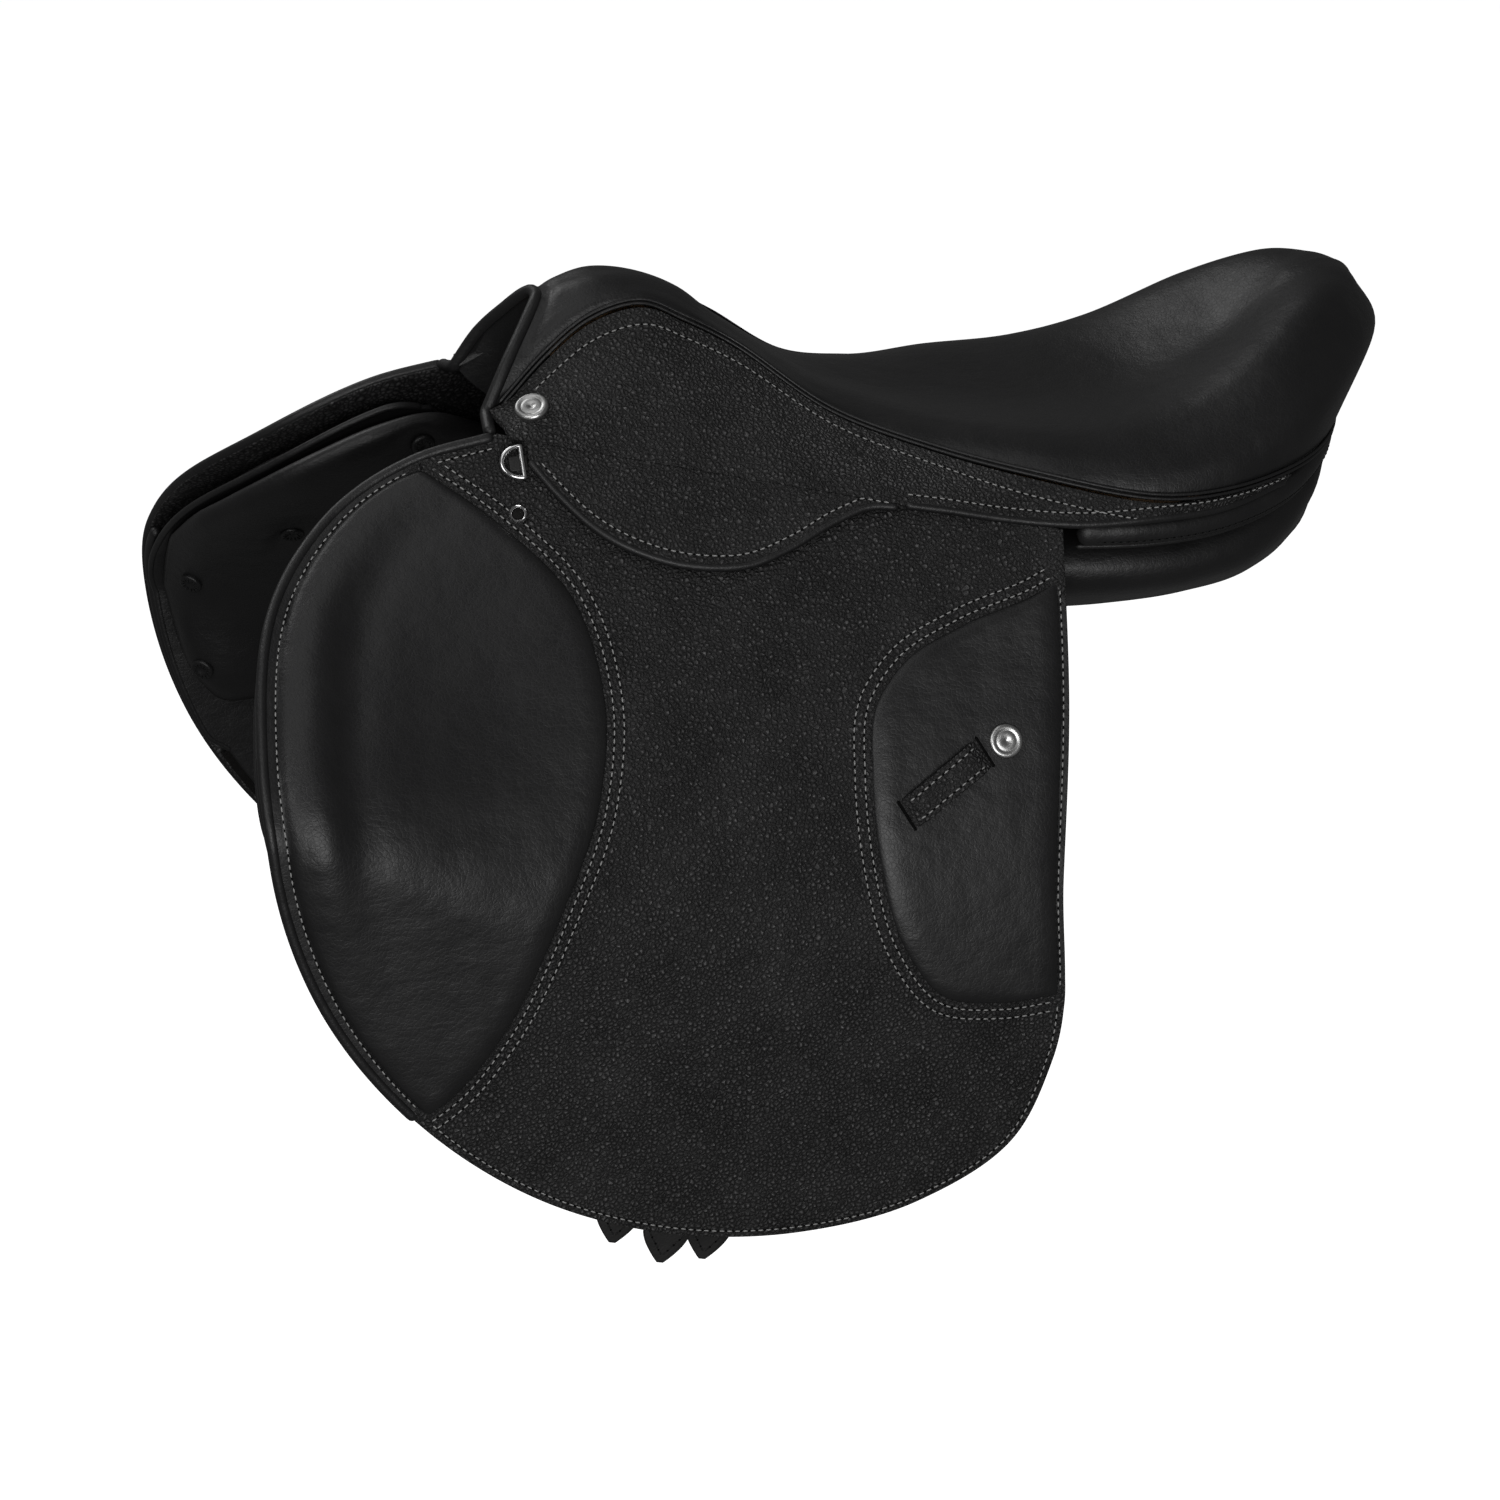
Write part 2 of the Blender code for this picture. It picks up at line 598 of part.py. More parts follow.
def build_gullet_lining():
    """Leather over the underside of the tree, wide under the head and narrow along the channel."""
    x_values = np.linspace(-0.184, 0.214, 15)
    half = smooth(x_values, (-0.184, -0.165, -0.140, -0.100, -0.060, 0.214),
                  (0.046, 0.056, 0.060, 0.048, 0.031, 0.029))
    stations = np.array(TREE_STATIONS)
    reach = half / smooth(x_values, stations[:, 0], stations[:, 2])
    grid = sunk(arch_grid(x_values, reach), LINING_SINK)
    mesh = mesh_from(grid, grid_faces(*grid.shape[:2]))
    if sum(face.normal.z for face in mesh.polygons) < 0:
        mesh.flip_normals()
    thicken(add_object("gullet_lining", mesh, SMOOTH), 0.0025)


def build_pommel_binding():
    front = seat_grid([0], [0.0, 0.2, 0.4, 0.6, 0.82, 1.0])[0]
    front = front + np.array([-0.0065, 0, -0.0015])
    half = through(front, 10)
    other = half[:0:-1] * np.array([1, -1, 1])
    tube("pommel_binding", np.concatenate([other, half]), BINDING_RADIUS, SMOOTH)


def build_rear_roll():
    half = through([(0.074, 0.118, 0.0545), (0.112, 0.121, 0.0535), (0.158, 0.113, 0.0545),
                    (0.200, 0.094, 0.062), (0.228, 0.066, 0.0725), (0.242, 0.034, 0.079),
                    (0.247, 0, 0.081)], 14)
    other = half[-2::-1] * np.array([1, -1, 1])
    tube("rear_roll", np.concatenate([half, other]), ROLL_RADIUS, SMOOTH)


# Panels.

def panel_inside(x, z):
    """Half width of the front lobe's inner face at a place on it."""
    stations = np.array(PANEL_STATIONS)[:9]
    top, bottom, thick = (np.interp(x, stations[:, 0], stations[:, k]) for k in (2, 3, 4))
    v = math.acos(1 - 2 * (z - top) / (bottom - top)) / math.pi
    outside = flap_y(x, z) - PANEL_DEPTH / flap_normal(x, z)[1]
    return max(outside - thick * math.sin(math.pi * v) ** 0.55, 0.030)


def panel_ring(row):
    """Loop in one cross-section: down the outside, round the bottom, and up the inside."""
    x, front, top, bottom, thick, inner_top, outer_top, outer, base = row
    v = np.linspace(0, 1, 8)
    ring = np.zeros((18, 3))
    ring[:, 0] = x
    if front > 0:
        z = top + (bottom - top) * (0.5 - 0.5 * np.cos(math.pi * v))
        outside = flap_y(x, z) - PANEL_DEPTH / flap_normal(x, z)[..., 1]
        depth = thick * np.sin(math.pi * np.clip(v, 0.06, 0.94)) ** 0.55
        inside = np.maximum(outside - depth, 0.030)
        lobe = section(outside, z, inside, z, 0.004)
    if front < 1:
        z_outside = outer_top + (base + 0.012 - outer_top) * v
        outside = outer - 0.010 * (2 * v - 1) ** 2
        z_inside = inner_top + (base + 0.008 - inner_top) * v
        inside = np.full(8, PANEL_INNER_Y)
        cushion = section(outside, z_outside, inside, z_inside, 0.010)
    if front == 1:
        ring[:, 1:] = lobe
    elif front == 0:
        ring[:, 1:] = cushion
    else:
        ring[:, 1:] = front * lobe + (1 - front) * cushion
    return ring


def section(outside, z_outside, inside, z_inside, belly):
    """Ring of (y, z): the outside downwards, a bottom point, the inside upwards, a top point."""
    down = np.stack([outside, z_outside], 1)
    up = np.stack([inside, z_inside], 1)[::-1]
    bottom = (down[-1] + up[0]) / 2 - np.array([0, belly])
    top = (down[0] + up[-1]) / 2
    return np.concatenate([down, bottom[None], up, top[None]])


def build_panel(name, side):
    stations = np.array(PANEL_STATIONS)
    rings = [panel_ring(row) for row in stations]
    loft(name + "_panel", rings, side, SMOOTH)


def build_tufts(name, side):
    """Four covered buttons that hold the panel's front to its backing."""
    for number, (x, z, stand) in enumerate(TUFTS, 1):
        middle = np.array([x, panel_inside(x, z), z])
        step = 0.006
        down = np.array([0, panel_inside(x, z - step) - panel_inside(x, z + step), -2 * step])
        along = np.array([2 * step, panel_inside(x + step, z) - panel_inside(x - step, z), 0])
        normal = np.cross(down, along)
        normal *= np.array([1, side, 1]) * np.sign(normal[1]) / np.linalg.norm(normal)
        place = middle * np.array([1, side, 1]) - normal * stand
        button(f"{name}_panel_tuft_{number}", place, -normal, 0.0065, 0.003, SMOOTH, 14)


# Flaps and what lies under them.

def free_edge():
    return through(FLAP_EDGE, 44)


def build_flap():
    """Flap with a notch in its top edge that leaves room for the stirrup bar."""
    rear, front = NOTCH[0][0], NOTCH[-1][0]
    ends = [[(rear, hinge_z(rear) - GAP)], [(front, hinge_z(front) - GAP)]]
    outline = np.concatenate([free_edge(), ends[0], NOTCH, ends[1]])
    layer("flap", outline, 0, FLAP_THICK, GRAIN)


def build_patches():
    for part, outline in (("knee_patch", KNEE_OUTLINE), ("calf_patch", CALF_OUTLINE)):
        loop = through(outline + outline[:1], 29)[:-1]
        layer(part, loop, PATCH_DEPTH, PATCH_THICK, SMOOTH)


def build_sweat_flap():
    middle = np.array(SWEAT_MIDDLE)
    edge = middle + (free_edge() - middle) * SWEAT_SCALE
    edge = edge[(edge[:, 1] < 0.040) | (edge[:, 0] < -0.230)]
    layer("sweat_flap", np.concatenate([edge, SWEAT_TOP]), SWEAT_DEPTH, SWEAT_THICK, SMOOTH)


def build_knee_block():
    """Foam roll between the flap and the sweat flap, in front of the rider's knee."""
    loop = through(BLOCK_OUTLINE + BLOCK_OUTLINE[:1], 19)[:-1]
    layer("knee_block", loop, BLOCK_DEPTH, BLOCK_THICK, FOAM)


def build_billet(part):
    """Strap that hangs from the girth web, with a pointed tip below the flap's edge."""
    top_x, tip_x, tip_z, depth = BILLETS[part]
    top, tip = np.array([top_x, BILLET_TOP]), np.array([tip_x, tip_z])
    along = (tip - top) / np.linalg.norm(tip - top)
    across = np.array([-along[1], along[0]]) * BILLET_WIDTH / 2
    shoulder = tip - along * 0.016
    outline = [top + across, shoulder + across, tip + across * 0.15, tip - across * 0.15,
               shoulder - across, top - across]
    layer(part, outline, depth, BILLET_THICK, STRAP)


# Skirts.

def band_top(s):
    """Upper edge of the skirt, just below the piped seam."""
    seam = seat_point(s, np.array([1.0]))[0]
    below = band_bottom(seam[0] if seam[0] > -0.205 else -0.205)
    towards = below - seam
    return seam + towards / np.linalg.norm(towards) * (PIPING_RADIUS + 0.0032) + np.array([0, 0.0022, 0])


def band_bottom(x):
    """Lower edge of the fixed skirt: the hinge line, then the strip's own edge."""
    if x < STRIP_EDGE[0][0]:
        return np.array([x, hinge_y(x), hinge_z(x) + GAP])
    strip = np.array(STRIP_EDGE)
    y, z = smooth(x, strip[:, 0], strip[:, 1:])
    return np.array([x, y, max(z, hinge_z(x) + GAP)])


def build_skirt_band(name, side):
    rows = []
    for s in SEAM_STATIONS[:BAND_LAST]:
        top = band_top(s)
        bottom = band_bottom(min(max(top[0], -0.214), 0.196))
        rows.append([top + (bottom - top) * v for v in (0, 0.5, 1)])
    slab(name + "_skirt_band", np.array(rows), (0, -BAND_DEPTH, 0), GRAIN, side)


def build_skirt_lobe():
    """Half-moon of leather that lifts over the stirrup bar."""
    x = np.linspace(*LOBE_X[::-1], 8)
    top = np.stack([x, hinge_z(x) - GAP], 1)
    layer("skirt", np.concatenate([through(LOBE_EDGE, 22), top]), -SKIRT_PROUD, SKIRT_THICK, GRAIN)


# Metal.

def plate_y(x):
    return PLATE_Y + float(hinge_y(x) - hinge_y(sum(BAR_X) / 2))


def build_stirrup_bar(name, side):
    """Back plate and flat bar joined at the front, open at the rear, following the hinge line."""
    x0, x1 = BAR_X
    outline = [(x0 - 0.006, 0), (x1 + 0.004, 0), (x1 + 0.004, PLATE_THICK), (x0, PLATE_THICK),
               (x0, PLATE_THICK + BAR_GAP), (x1, PLATE_THICK + BAR_GAP),
               (x1, PLATE_THICK + BAR_GAP + BAR_THICK), (x0 - 0.006, PLATE_THICK + BAR_GAP + BAR_THICK)]
    rings = []
    for level in (-BAR_TALL / 2, BAR_TALL / 2):
        rings.append([(x, plate_y(x) + y, float(hinge_z(x)) - BAR_DROP + level) for x, y in outline])
    work = bmesh.new()
    low = [work.verts.new(point) for point in rings[0]]
    high = [work.verts.new(point) for point in rings[1]]
    work.faces.new(low)
    work.faces.new(high)
    for i in range(len(low)):
        j = (i + 1) % len(low)
        work.faces.new((low[i], low[j], high[j], high[i]))
    bmesh.ops.recalc_face_normals(work, faces=work.faces)
    mesh = bpy.data.meshes.new(name + "_stirrup_bar")
    work.to_mesh(mesh)
    work.free()
    if side < 0:
        mesh.transform(MIRROR)
        mesh.flip_normals()
    made = add_object(name + "_stirrup_bar", mesh, STEEL)
    edge = made.modifiers.new("edge", "BEVEL")
    edge.width = 0.0008
    edge.segments = 1
    edge.limit_method = "ANGLE"


def build_bar_catch(name, side):
    """Thumb piece that closes the open end of the bar and tips back to let the leather off."""
    x = BAR_X[1] + 0.0068
    z = float(hinge_z(x)) - BAR_DROP
    made = box(name + "_bar_catch", (0.004, 0.0125, BAR_TALL), (0, 0, 0), STEEL)
    made.data.transform(Matrix.Translation((0, 0, BAR_TALL / 2)))
    made.location = (x, side * (plate_y(x) + 0.0110), z - BAR_TALL / 2)
    edge = made.modifiers.new("edge", "BEVEL")
    edge.width = 0.0008
    edge.segments = 2


def flap_place(x, z, side, depth):
    normal = flap_normal(x, z) * np.array([1, side, 1])
    place = under_flap(x, z, depth) * np.array([1, side, 1])
    return place, normal


def build_studs(name, side):
    """Badge stud on the calf patch and small stud under the dee."""
    place, normal = flap_place(*BADGE_PLACE, side, PATCH_DEPTH - 0.0006)
    button(name + "_badge", place, normal, NAIL_RADIUS, 0.003, STEEL)
    place, normal = flap_place(*STUD_PLACE, side, -0.0006)
    button(name + "_small_stud", place, normal, 0.0050, 0.0025, CHROME, 16)


def build_nail_head(name, side):
    """Domed nail that holds the skirt, flap and seat to the head of the tree."""
    x, z = NAIL_PLACE
    s_values = np.linspace(0.2, 3, 60)
    tops = np.array([band_top(s) for s in s_values])
    top = tops[np.argmin(abs(tops[:, 0] - x))]
    low = band_bottom(x)
    share = (z - low[2]) / (top[2] - low[2])
    place = low + (top - low) * share
    up = (top - low) / np.linalg.norm(top - low)
    along = np.array([1.0, (hinge_y(0) - hinge_y(-0.1)) / 0.1, -0.1])
    normal = np.cross(up, along)
    normal *= np.sign(normal[1]) / np.linalg.norm(normal)
    place = (place + normal * 0.0026) * np.array([1, side, 1])
    button(name + "_nail_head", place, normal * np.array([1, side, 1]), NAIL_RADIUS, 0.003, STEEL)


def dee_frame(side):
    """Middle of the dee's straight side, the directions up and forward on the flap, and out."""
    x, z = DEE_PLACE
    place, normal = flap_place(x, z, side, -DEE_STANDOFF)
    up = np.array([0.0, side * (flap_y(x, z + 0.002) - flap_y(x, z - 0.002)), 0.004])
    up /= np.linalg.norm(up)
    forward = np.cross(up, normal) * side
    forward *= -np.sign(forward[0])
    return place, up, forward, normal


def build_dee(name, side):
    """Ring for a breastplate, held by a leather tab; it swings out on its straight side."""
    place, up, forward, normal = dee_frame(side)
    points = [(-0.5, 0), (0.5, 0)]
    for angle in np.linspace(math.pi / 2, -math.pi / 2, 13):
        points.append((0.5 * math.sin(angle), max(0.12, math.cos(angle))))
    loop = [place + up * DEE_HEIGHT * a + forward * DEE_WIDTH * b for a, b in points]
    tube(name + "_dee", loop, DEE_ROD, CHROME, closed=True)
    start = place - normal * (DEE_STANDOFF - 2 * GAP)
    rows = []
    for a in (-0.0035, 0.0035):
        rows.append([start + up * a + forward * b + normal * 0.0012 for b in (-0.0025, 0.006)])
    mesh = mesh_from(np.array(rows), grid_faces(2, 2))
    mesh = outward(mesh, side)
    thicken(add_object(name + "_dee_tab", mesh, STRAP), 0.0012)


def build_keeper(name, side):
    """Low leather loop on the calf patch: flat ends with a raised middle."""
    start, end = np.array(KEEPER)
    along = (end - start) / np.linalg.norm(end - start)
    across = np.array([-along[1], along[0]])
    rows = []
    for share in np.linspace(0, 1, 13):
        middle = start + (end - start) * share
        rise = KEEPER_RISE * np.clip(min(share, 1 - share) / 0.16, 0, 1)
        row = []
        for k in (-0.5, 0, 0.5):
            x, z = middle + across * KEEPER_WIDTH * k
            row.append(under_flap(x, z, PATCH_DEPTH - 0.0006 - KEEPER_THICK - rise))
        rows.append(row)
    side_sheet(name + "_keeper", np.array(rows), side, KEEPER_THICK, GRAIN)


# Joint axes.

def hinge(name, place, direction, pieces):
    """Empty on a joint's axis, with its arrow along the axis, that carries the pieces."""
    axis = bpy.data.objects.new(name, None)
    PARTS.objects.link(axis)
    axis.empty_display_type = "SINGLE_ARROW"
    axis.empty_display_size = 0.05
    axis.location = place
    axis.rotation_mode = "QUATERNION"
    axis.rotation_quaternion = Vector(direction).to_track_quat("Z", "Y")
    bpy.context.view_layer.update()
    for piece in pieces:
        made = bpy.data.objects[piece]
        made.parent = axis
        made.matrix_parent_inverse = axis.matrix_world.inverted()
    return axis


def build_hinges(name, side):
    start = Vector((HINGE_X[0], side * HINGE_Y[0], HINGE_Z[0]))
    end = Vector((HINGE_X[1], side * HINGE_Y[1], HINGE_Z[1]))
    lifting = (end - start) * side
    on_flap = ("flap", "knee_patch", "calf_patch", "keeper", "badge", "small_stud", "dee_tab")
    flap = hinge(name + "_flap_hinge", start, lifting, [f"{name}_{part}" for part in on_flap])
    skirt = hinge(name + "_skirt_hinge", start, lifting, [name + "_skirt"])
    place, up, forward, normal = dee_frame(side)
    dee = hinge(name + "_dee_hinge", place, np.cross(forward, normal), [name + "_dee"])
    for axis in (skirt, dee):
        axis.parent = flap
        axis.matrix_parent_inverse = flap.matrix_world.inverted()
    for part, (top_x, tip_x, tip_z, depth) in BILLETS.items():
        place, _ = flap_place(top_x, BILLET_TOP - BILLET_WIDTH / 2, side, depth + BILLET_THICK / 2)
        tip, _ = flap_place(tip_x, tip_z, side, depth + BILLET_THICK / 2)
        square = np.cross(tip - place, (1, 0.05 * side, 0))
        hinge(f"{name}_{part}_pivot", place, square * np.sign(square[1]), [f"{name}_{part}"])


for old in list(bpy.data.objects):
    bpy.data.objects.remove(old)
PARTS = collection("english_saddle")
CUTTERS = collection("cutters")
SMOOTH = material("smooth_leather", (0.018, 0.018, 0.019), 0.42)
GRAIN = material("grained_leather", (0.020, 0.020, 0.021), 0.50)
STRAP = material("strap_leather", (0.022, 0.021, 0.021), 0.55)
STEEL = material("brushed_steel", (0.62, 0.62, 0.61), 0.32, 1.0)
CHROME = material("polished_chrome", (0.80, 0.80, 0.80), 0.12, 1.0)
FOAM = material("dark_foam", (0.05, 0.05, 0.05), 0.95)
WEBBING = material("black_webbing", (0.03, 0.03, 0.03), 0.85)
TREE = material("laminated_tree", (0.30, 0.20, 0.11), 0.60)

build_seat_cover()
build_piping()
build_seat_foam()
build_girth_webs()
build_seat_web()
build_tree()
build_head_plate()
build_gullet_lining()
build_pommel_binding()
build_rear_roll()
build_flap()
build_patches()
build_sweat_flap()
build_knee_block()
build_skirt_lobe()
for PART in BILLETS:
    build_billet(PART)
for SIDE_NAME, SIDE in (("near", -1), ("off", 1)):
    build_panel(SIDE_NAME, SIDE)
    build_tufts(SIDE_NAME, SIDE)
    build_skirt_band(SIDE_NAME, SIDE)
    build_stirrup_bar(SIDE_NAME, SIDE)
    build_bar_catch(SIDE_NAME, SIDE)
    build_nail_head(SIDE_NAME, SIDE)
    build_studs(SIDE_NAME, SIDE)
    build_dee(SIDE_NAME, SIDE)
    build_keeper(SIDE_NAME, SIDE)
    build_hinges(SIDE_NAME, SIDE)
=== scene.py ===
import json
import math

import bmesh
import bpy
import numpy as np
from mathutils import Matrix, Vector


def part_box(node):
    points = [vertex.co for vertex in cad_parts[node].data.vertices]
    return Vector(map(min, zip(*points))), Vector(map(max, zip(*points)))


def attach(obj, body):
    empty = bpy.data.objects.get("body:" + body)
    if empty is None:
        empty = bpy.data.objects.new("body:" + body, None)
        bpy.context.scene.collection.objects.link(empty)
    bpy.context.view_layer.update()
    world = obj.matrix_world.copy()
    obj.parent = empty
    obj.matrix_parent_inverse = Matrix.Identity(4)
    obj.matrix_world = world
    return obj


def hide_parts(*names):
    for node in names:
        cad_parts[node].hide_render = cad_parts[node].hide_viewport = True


# Close-contact jumping saddle in black leather. Metres, +Z up, pommel to -X, near side -Y.
# Pieces are worked out for the off side (+Y) and mirrored for the near side.

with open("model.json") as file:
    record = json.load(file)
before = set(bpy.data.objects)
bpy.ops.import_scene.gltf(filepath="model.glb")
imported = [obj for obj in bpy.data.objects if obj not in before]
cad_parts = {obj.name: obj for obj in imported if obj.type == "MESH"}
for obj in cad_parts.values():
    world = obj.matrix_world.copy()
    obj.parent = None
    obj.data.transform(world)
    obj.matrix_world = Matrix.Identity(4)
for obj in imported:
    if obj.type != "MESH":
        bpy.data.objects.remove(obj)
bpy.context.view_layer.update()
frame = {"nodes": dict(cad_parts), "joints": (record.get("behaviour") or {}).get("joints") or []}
joints = {joint["name"]: joint for joint in frame["joints"]}
sides = {"near": -1, "off": 1}
print("frame loaded:", len(frame["nodes"]), "nodes")


# Curves. Points are rows of an array.

def cubic(t, first, leaving, last, arriving):
    # cubic from first to last with the given slopes at its two ends
    return ((1 + 2 * t) * (1 - t) ** 2 * first + t * (1 - t) ** 2 * leaving
            + t * t * (3 - 2 * t) * last + t * t * (t - 1) * arriving)


def eased(t):
    # from 0 to 1 with level ends
    t = np.clip(t, 0, 1)
    return t * t * (3 - 2 * t)


def smoothThrough(at, knots, values):
    # cubic between neighbouring knots, each knot's slope taken from its neighbours
    knots, values = np.asarray(knots, float), np.asarray(values, float)
    at = np.clip(np.asarray(at, float), knots[0], knots[-1])
    slopes = np.gradient(values, knots, axis=0)
    index = np.clip(np.searchsorted(knots, at, side="right") - 1, 0, len(knots) - 2)
    step = knots[index + 1] - knots[index]
    t = (at - knots[index]) / step
    if values.ndim > 1:
        t, step = t[..., None], step[..., None]
    return cubic(t, values[index], step * slopes[index], values[index + 1], step * slopes[index + 1])


def runOf(line):
    # distance of each point from the line's start
    return np.concatenate([[0], np.cumsum(np.linalg.norm(np.diff(line, axis=0), axis=1))])


def evenly(line, count):
    # the same line with its points at equal distances along it
    length = runOf(line[:, :3])
    at = np.linspace(0, length[-1], count)
    return np.stack([np.interp(at, length, line[:, k]) for k in range(line.shape[1])], 1)


def alongCurve(points, count):
    # evenly spaced points on a smooth curve through the given ones
    points = np.asarray(points, float)
    knots = runOf(points)
    return evenly(smoothThrough(np.linspace(0, knots[-1], 8 * count), knots, points), count)


def unit(vectors):
    return vectors / np.maximum(np.linalg.norm(vectors, axis=-1, keepdims=True), 1e-12)


def shares(count, fine=0.6):
    # from 0 to 1, closer together near both ends
    t = np.linspace(0, 1, count)
    return (1 - fine) * t + fine * (0.5 - 0.5 * np.cos(math.pi * t))


def swell(distance, width):
    # quarter circle from 0 at a seam to 1 at the given distance from it
    t = np.clip(distance / width, 0, 1)
    return np.sqrt(1 - (1 - t) ** 2)


def hump(distance, at, width):
    # bell curve of height 1
    return np.exp(-((distance - at) / width) ** 2)


def stepUp(value, at, width):
    # smooth step from 0 to 1 about a place
    return 1 / (1 + np.exp(-(value - at) / width))


def mirrored(points):
    return points * np.array([1, -1, 1])


def bothHalves(line):
    # a line that ends on the middle plane, carried on along the other side
    return np.concatenate([line, mirrored(line)[-2::-1]])


def squareTo(normal):
    # two directions at right angles to a normal and to each other
    first = unit(np.cross(normal, [0.1, 0.0, 1.0]))
    return first, np.cross(normal, first)


# The flap's outer surface, which every layer follows. Its top is the joints' hinge line.

hingeAt = np.array(joints["off_flap_lift"]["pos_m"])
hingeAlong = np.array(joints["off_flap_lift"]["axis"])
flapShape = {
    "proud": 0.0055,          # how far the skirt stands outside the flap
    "spread": 0.206,          # half width at the bottom
    "drop": 0.250,            # height over which the flap turns upright
    "frontFrom": -0.150,      # forward of this it starts slowly and turns late
    "frontLength": 0.217,
    "frontDrop": 0.060,
}


def hingeY(x):
    return hingeAt[1] + (x - hingeAt[0]) * hingeAlong[1] / hingeAlong[0]


def hingeZ(x):
    return hingeAt[2] + (x - hingeAt[0]) * hingeAlong[2] / hingeAlong[0]


def flapY(x, z):
    # quarter sine from the hinge line out to the spread, slower to start at the front
    front = eased((flapShape["frontFrom"] - x) / flapShape["frontLength"])
    t = np.clip((hingeZ(x) - z) / (flapShape["drop"] - flapShape["frontDrop"] * front), -1, 1)
    rise = (1 - front) * np.sin(math.pi / 2 * t) + front * t * np.abs(t) * (3 - 2 * np.abs(t))
    top = hingeY(x) - flapShape["proud"]
    return top + (flapShape["spread"] - top) * rise


def flapNormal(x, z):
    # from the surface's slopes along x and z
    step = 0.002
    slopeX = (flapY(x + step, z) - flapY(x - step, z)) / (2 * step)
    slopeZ = (flapY(x, z + step) - flapY(x, z - step)) / (2 * step)
    return unit(np.stack([-slopeX, np.ones_like(slopeX), -slopeZ], -1))


def onFlap(places, height):
    # places are (x, z) on the flap, height is measured outwards from its surface
    x, z = places[..., 0], places[..., 1]
    height = np.broadcast_to(height, x.shape)
    return np.stack([x, flapY(x, z), z], -1) + height[..., None] * flapNormal(x, z)


def layer(places, height):
    # points at a height on the flap, with their normals
    return onFlap(places, height), flapNormal(places[..., 0], places[..., 1])


# Grids: rows by columns of points.

def gridNormals(grid, towards=(0, 1, 0)):
    # cross product of the grid's two directions, all turned to the given side
    normals = unit(np.cross(np.gradient(grid, axis=0), np.gradient(grid, axis=1)))
    return normals if (normals @ np.asarray(towards, float)).sum() > 0 else -normals


def ruled(first, second, across):
    # straight lines between matching points of two curves
    return first[:, None] * (1 - across[None, :, None]) + second[:, None] * across[None, :, None]


def runAlong(grid):
    # distance of each point from the start of its row
    run = np.cumsum(np.linalg.norm(np.diff(grid, axis=1), axis=2), axis=1)
    return np.concatenate([np.zeros((len(grid), 1)), run], 1)


def runBack(grid):
    # distance of each point from the end of its row
    return runAlong(grid[:, ::-1])[:, ::-1]


def lineAt(grid, normals, distance):
    # on each row, the point at a distance from the row's start, with its normal
    run = runAlong(grid)
    rows = np.arange(len(grid))
    index = np.clip((run < distance).sum(1) - 1, 0, grid.shape[1] - 2)
    share = (distance - run[rows, index]) / np.maximum(run[rows, index + 1] - run[rows, index], 1e-9)
    share = np.clip(share, 0, 1)[:, None]
    spot = grid[rows, index] * (1 - share) + grid[rows, index + 1] * share
    return spot, unit(normals[rows, index] * (1 - share) + normals[rows, index + 1] * share)


# Meshes.

def gridFaces(rows, columns, closed=False):
    # four-sided faces of a grid of points, round to the first column when closed
    i, j = np.meshgrid(np.arange(rows - 1), np.arange(columns - (not closed)), indexing="ij")
    k = (j + 1) % columns
    return np.stack([i * columns + j, (i + 1) * columns + j, (i + 1) * columns + k, i * columns + k],
                    -1).reshape(-1, 4)


def makeMesh(name, points, faces, finish, side=1, sharp=50):
    # one object: y mirrored by the side, doubles merged, faces turned outwards
    points = np.asarray(points, float).reshape(-1, 3) * np.array([1, side, 1])
    used, faces = np.unique(faces, return_inverse=True)
    mesh = bpy.data.meshes.new(name)
    mesh.from_pydata(points[used], [], faces.reshape(-1, 4).tolist())
    mesh.materials.append(finish)
    work = bmesh.new()
    work.from_mesh(mesh)
    bmesh.ops.remove_doubles(work, verts=work.verts, dist=2e-6)
    bmesh.ops.recalc_face_normals(work, faces=work.faces)
    work.to_mesh(mesh)
    work.free()
    mesh.polygons.foreach_set("use_smooth", np.ones(len(mesh.polygons), bool))
    mesh.set_sharp_from_angle(angle=math.radians(sharp))
    made = bpy.data.objects.new(name, mesh)
    bpy.context.scene.collection.objects.link(made)
    return made


